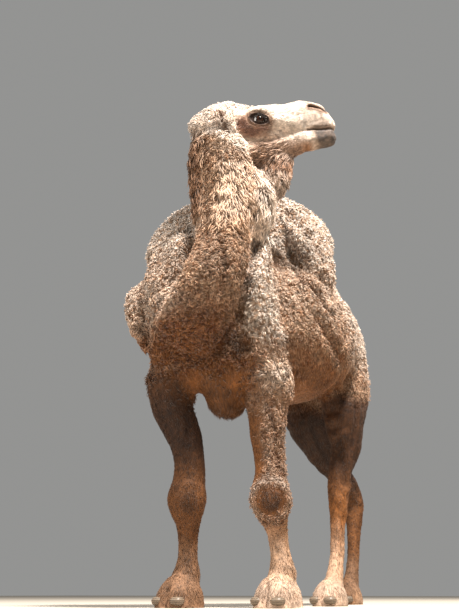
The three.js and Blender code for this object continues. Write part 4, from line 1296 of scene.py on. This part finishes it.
wet_eye, tree = matter("wet_eye")
off_axis = add(tree, "Attribute", {"attribute_name": "off_axis"}).outputs["Fac"]
rings = add(tree, "ValToRGB", _0=off_axis)
stops = rings.color_ramp.elements
for position, code in ((0.0, "#24140C"), (0.5, "#3E2212"), (0.74, "#2A180E"), (0.82, "#120A06"),
                       (0.9, "#4A3830"), (1.0, "#5E4C44")):
    stop = stops.new(position)
    stop.color = linear(code)
stops.remove(stops[0])
stops.remove(stops[-1])
fibres = add(tree, "TexNoise", {"Scale": FIBRES, "Detail": 2},
             Vector=add(tree, "TexCoord").outputs["Object"])
streaked = add(tree, "Mix", {"data_type": "RGBA", "blend_type": "MULTIPLY", 0: 0.4},
               _6=rings.outputs[0], _7=fibres.outputs["Color"])
pupil = add(tree, "MapRange", {1: 0.9, 2: 1.1},
            _0=add(tree, "Attribute", {"attribute_name": "pupil"}).outputs["Fac"])
seen = add(tree, "Mix", {"data_type": "RGBA", 6: linear("#050303")}, _0=pupil.outputs[0],
           _7=streaked.outputs[2])
shader = add(tree, "BsdfPrincipled",
             {"Roughness": 0.2, "Specular IOR Level": 0.25, "Coat Weight": 0.15,
               "Coat Roughness": 0.04},
             Base_Color=seen.outputs[2])
finish_matter(tree, shader.outputs["BSDF"])
for name, side in (("left", -1), ("right", 1)):
    ball_points, ball_faces, values = eye_ball(side)
    ball = mesh_object(f"eyeball_{name}", ball_points, ball_faces)
    write_values(ball, values)
    dress(ball, wet_eye, "eye", f"eye_{name}")

# ---------- Toenails ----------
# Two broad blunt nails on each foot, of layered horn that is ridged across, in paler and darker bands.
NAIL_ROWS, NAIL_TURNS = 22, 40
NAIL_POLE = 0.03                        # angle of the smallest ring
NAIL_POWERS = (2.6, 2.3, 2.3)
RIDGE = 0.02                            # height of a growth ridge, to the nail's size
HORN_LAYER_MM = 22
horn, tree = matter("horn_nail")
place = add(tree, "TexCoord").outputs["Object"]
layers = add(tree, "TexWave", {"bands_direction": "Z", "Scale": 1000 / HORN_LAYER_MM,
                               "Distortion": 3, "Detail": 3, "Detail Scale": 2},
             Vector=place).outputs["Fac"]
tone = add(tree, "Mix", {"data_type": "RGBA", 6: linear("#5A4D40"), 7: linear("#7E6D5A")},
           _0=layers)
bump = add(tree, "Bump", {"Strength": 0.4, "Distance": 0.001}, Height=layers)
gloss = add(tree, "MapRange", {3: 0.38, 4: 0.6}, _0=layers)
shader = add(tree, "BsdfPrincipled", Base_Color=tone.outputs[2], Roughness=gloss.outputs[0],
             Normal=bump.outputs[0])
finish_matter(tree, shader.outputs["BSDF"])


def nail_shape(low, high):
    """A rounded block: an egg |x/w|**2.6 + |y/d|**2.3 + |z/t|**2.3 = 1 on a grid of rise and turn, with
    low growth ridges across it."""
    middle, half = (low + high) / 2, (high - low) / 2
    rise, spin = np.meshgrid(np.linspace(NAIL_POLE - math.pi / 2, math.pi / 2 - NAIL_POLE, NAIL_ROWS),
                             np.linspace(0, 2 * math.pi, NAIL_TURNS, endpoint=False), indexing="ij")
    way = np.stack([np.cos(rise) * np.cos(spin), np.cos(rise) * np.sin(spin), np.sin(rise)], -1)
    size = np.sum(np.abs(way) ** NAIL_POWERS, axis=-1) ** (-1 / 2.4)
    size *= 1 + RIDGE * np.sin(9 * rise)
    points, faces = round_grid(middle + way * size[..., None] * half * (1.0, 1.04, 1.0))
    return points, [group[:, ::-1] for group in faces]


for node in [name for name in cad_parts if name.startswith("nail_")]:
    nail = mesh_object(f"toe{node}", *nail_shape(*np.array(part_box(node))))
    dress(nail, horn, "nail", node)

# ---------- Short coat and wool ----------
# Every tuft is a three-sided lock rooted in the hide that thins to a tip.  Close hair on the face and
# legs lies flat; the wool of the neck, trunk and humps gathers in curled knots a thumb wide.
hide.data.calc_loop_triangles()
corners = np.empty(len(hide.data.loop_triangles) * 3, np.int32)
hide.data.loop_triangles.foreach_get("vertices", corners)
corners = corners.reshape(-1, 3)
edge_one, edge_two = (places[corners[:, i]] - places[corners[:, 0]] for i in (1, 2))
areas = np.linalg.norm(np.cross(edge_one, edge_two), axis=1) / 2
girth = np.array([length.sizes.mean() for length in lengths])
PATCH = 0.003                           # width of a tuft's own patch on the unwrap
EDGE = 0.004                            # margin of the unwrap
SOLE_GAP = 0.003                        # how far the lowest hair stays above the floor
ROOT_DEPTH = 0.0015                     # how deep a lock starts in the hide
TIP_RISE = 0.0006                       # how far its tip stays off it
THICKNESS = 0.55                        # of a lock, to its width


def scatter(density, count, draw):
    """Roots spread over the hide in proportion to a density: evenly spaced steps, each shaken, along
    the running total of density times area.  Gives each root's corners and its shares of them."""
    total = np.cumsum(areas * density[corners].mean(1))
    step = (np.arange(count) + draw.random(count)) / count * total[-1]
    face = np.minimum(np.searchsorted(total, step), len(corners) - 1)
    share = draw.random((count, 2))
    share[share.sum(1) > 1] = 1 - share[share.sum(1) > 1]
    return corners[face], np.column_stack([1 - share.sum(1), share])


def knots(roots, size, seed):
    """The middle of the nearest knot of wool: one for each cell of a lattice, shaken by half a cell.
    Gives the way to it, how far out in the knot each root is, from 0 to 1, and a value of its own."""
    cell = np.floor(roots / size).astype(np.int64)
    best = np.full(len(roots), 1e9)
    way, own = np.zeros_like(roots), np.zeros(len(roots))
    for offset in np.ndindex(3, 3, 3):
        corner = cell + np.array(offset) - 1
        mixed = lattice_key(corner, seed * 7919)
        shake = []
        for turn in (1274126177, 2246822519, 3266489917):
            mixed = ((mixed ^ (mixed >> 15)) * turn) & 0x7FFFFFFF
            shake.append((mixed & 0xFFFF) / 0xFFFF)
        middle = (corner + np.stack(shake, 1)) * size
        gap = np.linalg.norm(middle - roots, axis=1)
        closer = gap < best
        best[closer] = gap[closer]
        way[closer] = (middle - roots)[closer]
        own[closer] = shake[0][closer]
    return way, np.clip(best / size / 0.75, 0, 1), own


def unwrap(corner, share):
    """Each root's place on an unwrap of the lengths of flesh it grows on: one column for each length,
    as wide as its girth, with the turn round the length across it and the way along it up it."""
    lead = corner[np.arange(len(corner)), share.argmax(1)]
    same = nearest[corner] == nearest[lead][:, None]
    own_turn = angle[lead][:, None]
    turn = own_turn + (angle[corner] - own_turn + math.pi) % (2 * math.pi) - math.pi
    turn = np.sum(np.where(same, turn, own_turn) * share, 1)
    up = np.sum(np.where(same, along[corner], along[lead][:, None]) * share, 1)
    used = np.unique(nearest[lead])
    ends = np.concatenate([[0], np.cumsum(girth[used])]) / girth[used].sum()
    column = np.searchsorted(used, nearest[lead])
    across = ends[column] + (ends[column + 1] - ends[column]) * ((turn / (2 * math.pi) + 0.5) % 1)
    return EDGE + (1 - 2 * EDGE) * np.column_stack([across, up])


def grow(name, slot, hair, density, count, seed, length, width, lift, droop=0.4, curl=0.0, turns=1.0,
         spread=10, knot=0.03, pull=0.0, rings=3, hang=0.0, way_of=None, curled=0.0, mix=None):
    """One piece of coat.  A lock leaves the hide at its lift, in degrees, and bends back by its droop;
    a helix of radius curl times its length and the pull to the middle of its knot are added.  Lengths
    and widths are in millimetres, for each point of the hide or for all."""
    draw = np.random.default_rng(seed)
    corner, share = scatter(density, count, draw)

    def at_root(values):
        """What the hide's points hold, at each root; one value stands for all of them."""
        if np.ndim(values) == 0:
            return np.full(count, float(values))
        return np.einsum("nk...,nk->n...", values[corner], share)
    roots, normal = at_root(places), unit(at_root(normals))
    way, outer, own = knots(roots, knot, seed)
    lie = at_root(flow if way_of is None else way_of) - at_root(hang)[:, None] * UP
    lie = unit(lie - normal * np.sum(lie * normal, 1, keepdims=True) + 1e-6)
    side = np.cross(normal, lie)
    swing = np.radians(spread) * (2 * own - 1 + 0.5 * draw.normal(size=count))
    cos, sin = np.cos(swing)[:, None], np.sin(swing)[:, None]
    lie, side = lie * cos + side * sin, side * cos - lie * sin
    size = at_root(length) * MM * draw.uniform(0.72, 1.18, count) * (1 - 0.35 * outer * (pull > 0))
    rise = np.radians(lift * draw.uniform(0.6, 1.4, count))
    way = way - normal * np.sum(way * normal, 1, keepdims=True)
    t = np.linspace(0, 1, rings + 1)
    phase = draw.uniform(0, 2 * math.pi, count)[:, None]
    circle = phase + 2 * math.pi * turns * t
    radius = (curl * size)[:, None] * t ** 0.7
    ahead = (size * np.cos(rise))[:, None] * t
    above = (size * np.sin(rise))[:, None] * t * (1 - droop * t) - ROOT_DEPTH * (1 - t)
    above = np.maximum(above + radius * (np.sin(circle) - np.sin(phase)) * 0.7, TIP_RISE * t)
    beside = radius * (np.cos(circle) - np.cos(phase))
    line = (roots[:, None] + lie[:, None] * ahead[..., None] + normal[:, None] * above[..., None]
            + side[:, None] * beside[..., None] + way[:, None] * (pull * t ** 1.5)[:, None])
    course = unit(np.gradient(line, axis=1))
    across = unit(np.cross(course, normal[:, None]))
    raised = np.cross(across, course)
    half = at_root(width)[:, None] * MM / 2 * draw.uniform(0.75, 1.25, count)[:, None]
    half = (half * (1 - t ** 2.4) * (0.75 + 0.5 * t))[..., None]
    line[..., 2] = np.maximum(line[..., 2], ORIGIN[2] + SOLE_GAP)
    sides = [line + half * (math.cos(spin) * across + THICKNESS * math.sin(spin) * raised)
             for spin in (math.pi / 2 + 2 * math.pi / 3 * i for i in range(3))]
    body = np.stack(sides, 2)[:, :-1].reshape(count, -1, 3)
    points = np.concatenate([body, line[:, -1:]], 1)
    each = points.shape[1]
    quads = [[3 * ring + i, 3 * ring + (i + 1) % 3, 3 * ring + 3 + (i + 1) % 3, 3 * ring + 3 + i]
             for ring in range(rings - 1) for i in range(3)]
    tips = [[each - 4 + i, each - 4 + (i + 1) % 3, each - 1] for i in range(3)]
    start = np.arange(count)[:, None, None] * each
    groups = [(np.array(quads) + start).reshape(-1, 4), (np.array(tips) + start).reshape(-1, 3)]
    piece = mesh_object(name, points.reshape(-1, 3), groups)

    reach = np.append(np.repeat(t[:-1], 3), 1.0)
    spot = np.append(np.tile([0.0, -0.5, 0.5], rings), 0.0)
    patch = np.stack([spot, reach - 0.5], 1) * PATCH
    point_map = (unwrap(corner, share)[:, None] + patch).reshape(-1, 2)
    order = np.empty(len(piece.data.loops), np.int32)
    piece.data.loops.foreach_get("vertex_index", order)
    layer = piece.data.uv_layers.new(name="OFBake")
    layer.data.foreach_set("uv", point_map[order].astype(np.float32).ravel())
    # Each lock's own tone at random, and in knotted wool painted shade: darker at a knot's edge,
    # lighter in its middle.
    shade = 0.6 * draw.normal(size=count) + (0.7 - 1.6 * outer ** 2) * (pull > 0)
    values = {name: at_root(value) for name, value in (marks | (mix or {})).items()}
    values |= {"wool": at_root(wool) * curled, "shade": shade}
    write_values(piece, {name: np.repeat(value, each) for name, value in values.items()})
    write_values(piece, {"reach": np.tile(reach, count)})
    dress(piece, hair, slot)


# Single hairs are a twentieth of a millimetre thick; they are drawn thirty times as coarse, to show.
STRAND_MM = 1.6


def hair_matter(name, root_tone, roughness, sheen):
    """Dry matt hair: darker at the root, partly as painted shade deep among the locks, sun-bleached at
    the tip, each lock a little off the next, and in knotted wool darker at each knot's edge as painted
    shade.
    """
    hair, tree = matter(name)
    reach = add(tree, "Attribute", {"attribute_name": "reach"}).outputs["Fac"]
    shade = add(tree, "Attribute", {"attribute_name": "shade"}).outputs["Fac"]
    bleach_and_root_shade = add(tree, "MapRange", {1: 0.0, 2: 0.75, 3: root_tone, 4: 1.08}, _0=reach).outputs[0]
    own = add(tree, "MapRange", {1: -2.0, 2: 2.0, 3: 0.62, 4: 1.34}, _0=shade).outputs[0]
    both = add(tree, "Math", {"operation": "MULTIPLY"}, _0=bleach_and_root_shade, _1=own).outputs[0]
    color = add(tree, "VectorMath", {"operation": "SCALE"}, _0=marked_color(tree), Scale=both)
    strands = add(tree, "TexNoise", {"Scale": 1000 / STRAND_MM, "Detail": 2},
                  Vector=add(tree, "TexCoord").outputs["Object"]).outputs["Fac"]
    bump = add(tree, "Bump", {"Strength": 0.5, "Distance": 0.001}, Height=strands)
    dull = add(tree, "MapRange", {3: roughness - 0.1, 4: roughness + 0.1}, _0=strands)
    shader = add(tree, "BsdfPrincipled",
                 {"Specular IOR Level": 0.2, "Sheen Weight": sheen, "Sheen Roughness": 0.5},
                 Base_Color=color.outputs[0], Roughness=dull.outputs[0], Normal=bump.outputs[0])
    finish_matter(tree, shader.outputs["BSDF"])
    return hair


short_hair = hair_matter("camel_short_hair", 0.62, 0.7, 0.15)
curled_wool = hair_matter("camel_curled_wool", 0.42, 0.85, 0.25)
crown_wool = hair_matter("camel_crown_wool", 0.66, 0.8, 0.3)
long_hair = hair_matter("camel_long_hair", 0.42, 0.7, 0.2)

# Where each piece of coat grows, from 0 to 1 on every point of the hide.
x, y, z = body_frame(places).T
a, r, h = head_frame(places).T
head = head_cover(places, shares)
off_head = 1 - head
front = np.clip(shares["skull"] + shares["jaw"], 0, 1) * on_head(places)
open_eye = 1 - ramp(lid_ratio(a, h), 1.0, 1.25)
open_nostril = bell(off_path(a, h, NOSTRIL)[0] / 7) * ramp(a, 205, 220)
open_mouth = bell((h - lip_height(a)) / 4) * ramp(a, 200, 215)
clothed = 1 - np.clip(front * (open_eye + open_nostril + open_mouth) + 0.96 * (z < 12), 0, 1)
crown = (1 - ramp(a + 0.3 * h, -140, -90)) + ramp(h, 62, 88) * (1 - ramp(a, -60, 0))
crown = head * np.clip(crown, 0, 1)
face = np.clip(head - crown, 0, 1) * clothed
neck = np.clip(shares["neck"] + shares["nape"], 0, 1) * off_head
nape = neck * ramp(-a, 240, 262) * ramp(z, 1540, 1620)
throat = np.clip(shares["mane"] + neck * ramp(a, -210, -165) * ramp(z, 1500, 1560), 0, 1) * off_head
throat *= ramp(z, 1440, 1520) * (1 - ramp(z, 1820, 1850))
neck_wool = np.clip(neck + shares["mane"] - nape - throat, 0, 1) * off_head
bound = sleeve_cover(places, normals, shares)
legs = {"fore": np.clip(shares["foreleg"] * np.where(x > 0, 1, 1 - ramp(z, 870, 940)) - bound, 0, 1),
        "hind": shares["hindleg"] * (1 - ramp(z, 940, 1060))}
sleeve = bound * (1 - ramp(z, 850, 890))
upper = shares["foreleg"] - legs["fore"] - sleeve
cuff = (upper + shares["shoulder"] * ramp(normals @ OUTER, -0.3, 0)) * (x > 0)
cuff *= ramp(z, 850, 890) * (1 - ramp(z, 975, 1005))
flap = np.clip(shares["cape"] + shares["front_hump"], 0, 1) * ramp(-x, 80, 140)
flap *= 1 - ramp(z, 1130, 1220)
trunk = sum(shares[name] for name in ("barrel", "withers", "shoulder", "cape", "brisket", "sternum"))
trunk = np.clip(trunk + upper - cuff + shares["hindleg"] - legs["hind"], 0, 1) * (1 - flap)
under = ramp(-normals[:, 2], 0.05, 0.5) * ramp(1150 - z, 0, 120)
sheared = 1 - 0.6 * folded
pad = shares["breast_pad"]
muzzle = ramp(a, 150, 230)
lash = front * bell((lid_ratio(a, h) - 1.12) / 0.1) * (np.abs(r) > 60)
lash *= ramp(h - EYE_ABOVE + 0.2 * (a - EYE_AHEAD), 4, 10)

# Face, lids and crown: short flat hair, a row of lashes and loose pale wool.
face_length = 15 - 9 * muzzle + 7 * ramp(-h, 60, 150) * (1 - muzzle)
face_length = np.where(lid_ratio(a, h) < 2.4, 5, face_length)
grow("coat_face", "cream_wool", short_hair, face * (1 + 2 * muzzle), 14000, 21, face_length,
     2.2 - 0.6 * muzzle, 15, curl=0.03, spread=14, rings=2)
grow("coat_lashes", "brown_hair", long_hair, lash, 300, 36, 22, 1.2, 46, droop=0.35, curl=0.01,
     spread=14, rings=4, way_of=np.tile(0.5 * AHEAD - 0.8 * UP, (len(places), 1)),
     mix={"cream": 0, "dark": 1})
grow("coat_crown", "cream_wool", crown_wool, crown * clothed, 6500, 22, 34 + 8 * ramp(-a, 150, 260), 6,
     32, droop=0.55, curl=0.12, turns=0.9, spread=45, knot=0.026, pull=0.5, curled=0.25)

# Neck, trunk, sleeve and humps: knots of curled locks; long loose ones on the nape and the flap.
wool_shape = dict(width=7, lift=38, droop=0.55, curl=0.2, turns=0.8, spread=90, knot=0.022, pull=0.8,
                  curled=1.0)
grow("coat_neck", "sand_wool", curled_wool, neck_wool, 10000, 23, 26 * sheared, **wool_shape)
grow("coat_nape", "brown_hair", long_hair, nape, 1200, 37, 78, 8, 20, droop=0.7, curl=0.06, turns=1.5,
     spread=20, pull=0.6, rings=6, hang=1.2)
for name, side in (("left", 1), ("right", -1)):
    grow(f"coat_trunk_{name}", "sand_wool", curled_wool, trunk * (1 - under) * (side * x > 0), 9800,
         24 + side, 28 * sheared, **wool_shape)
grow("coat_sleeve", "sand_wool", curled_wool, sleeve * clothed, 2600, 39, 23,
     **(wool_shape | dict(width=5)))
flap_length = 40 + 20 * flap * (1 - ramp(z, 1060, 1120))
grow("coat_flap", "sand_wool", curled_wool, flap + cuff, 2200, 38, flap_length, 9, 36, droop=0.6,
     curl=0.18, turns=1.1, spread=60, knot=0.036, pull=0.9, rings=4, hang=1.2 * flap, curled=0.7)
grow("coat_hump_front", "cream_wool", curled_wool, shares["front_hump"] * (1 - flap), 7000, 26,
     30 * sheared, **wool_shape)
grow("coat_hump_rear", "cream_wool", curled_wool, shares["rear_hump"] + shares["rear_fold"], 7000, 27,
     30 * sheared, **wool_shape)

# Belly and legs: short flat hair, longer on the breast pad, at the back of the fetlock and on the toes.
grow("coat_belly", "sand_wool", short_hair, (trunk + pad) * under, 6000, 28, 20 + 16 * pad, 3.4, 14,
     curl=0.04, spread=16, rings=2, hang=pad)
for name in ("fore", "hind"):
    feather = 12 * bell((z - 150) / 40) * (name == "fore")
    feather = feather + 14 * bell((z - 60) / 16) * (normals[:, 1] < 0)
    grow(f"coat_{name}legs", "short_coat", short_hair, legs[name] * clothed * (z > 12), 12500,
         29 + len(name), 15 - 5 * ramp(160 - z, 0, 80) + feather, 3, 16, curl=0.05, spread=18, rings=2)

# Throat, beard and tail: long wavy strands gathered in locks.
throat_way = 0.35 * AHEAD * ramp(a, -200, -60)[:, None] - UP
grow("coat_throat", "tan_wool", long_hair, throat, 3400, 33, 92 - 30 * ramp(z, 1640, 1800), 9, 26,
     droop=0.7, curl=0.07, turns=1.2, spread=20, knot=0.04, pull=0.75, rings=5, way_of=throat_way)
grow("coat_beard", "tan_wool", long_hair, shares["beard"], 1400, 34, 66, 7, 18, droop=0.6, curl=0.06,
     turns=1.2, spread=14, knot=0.026, pull=0.6, rings=5)
grow("coat_tail", "brown_hair", long_hair, shares["tail"], 1500, 35, 26 + 50 * ramp(980 - z, 0, 120), 5,
     14, droop=0.5, curl=0.05, spread=12, knot=0.02, pull=0.4, rings=4)
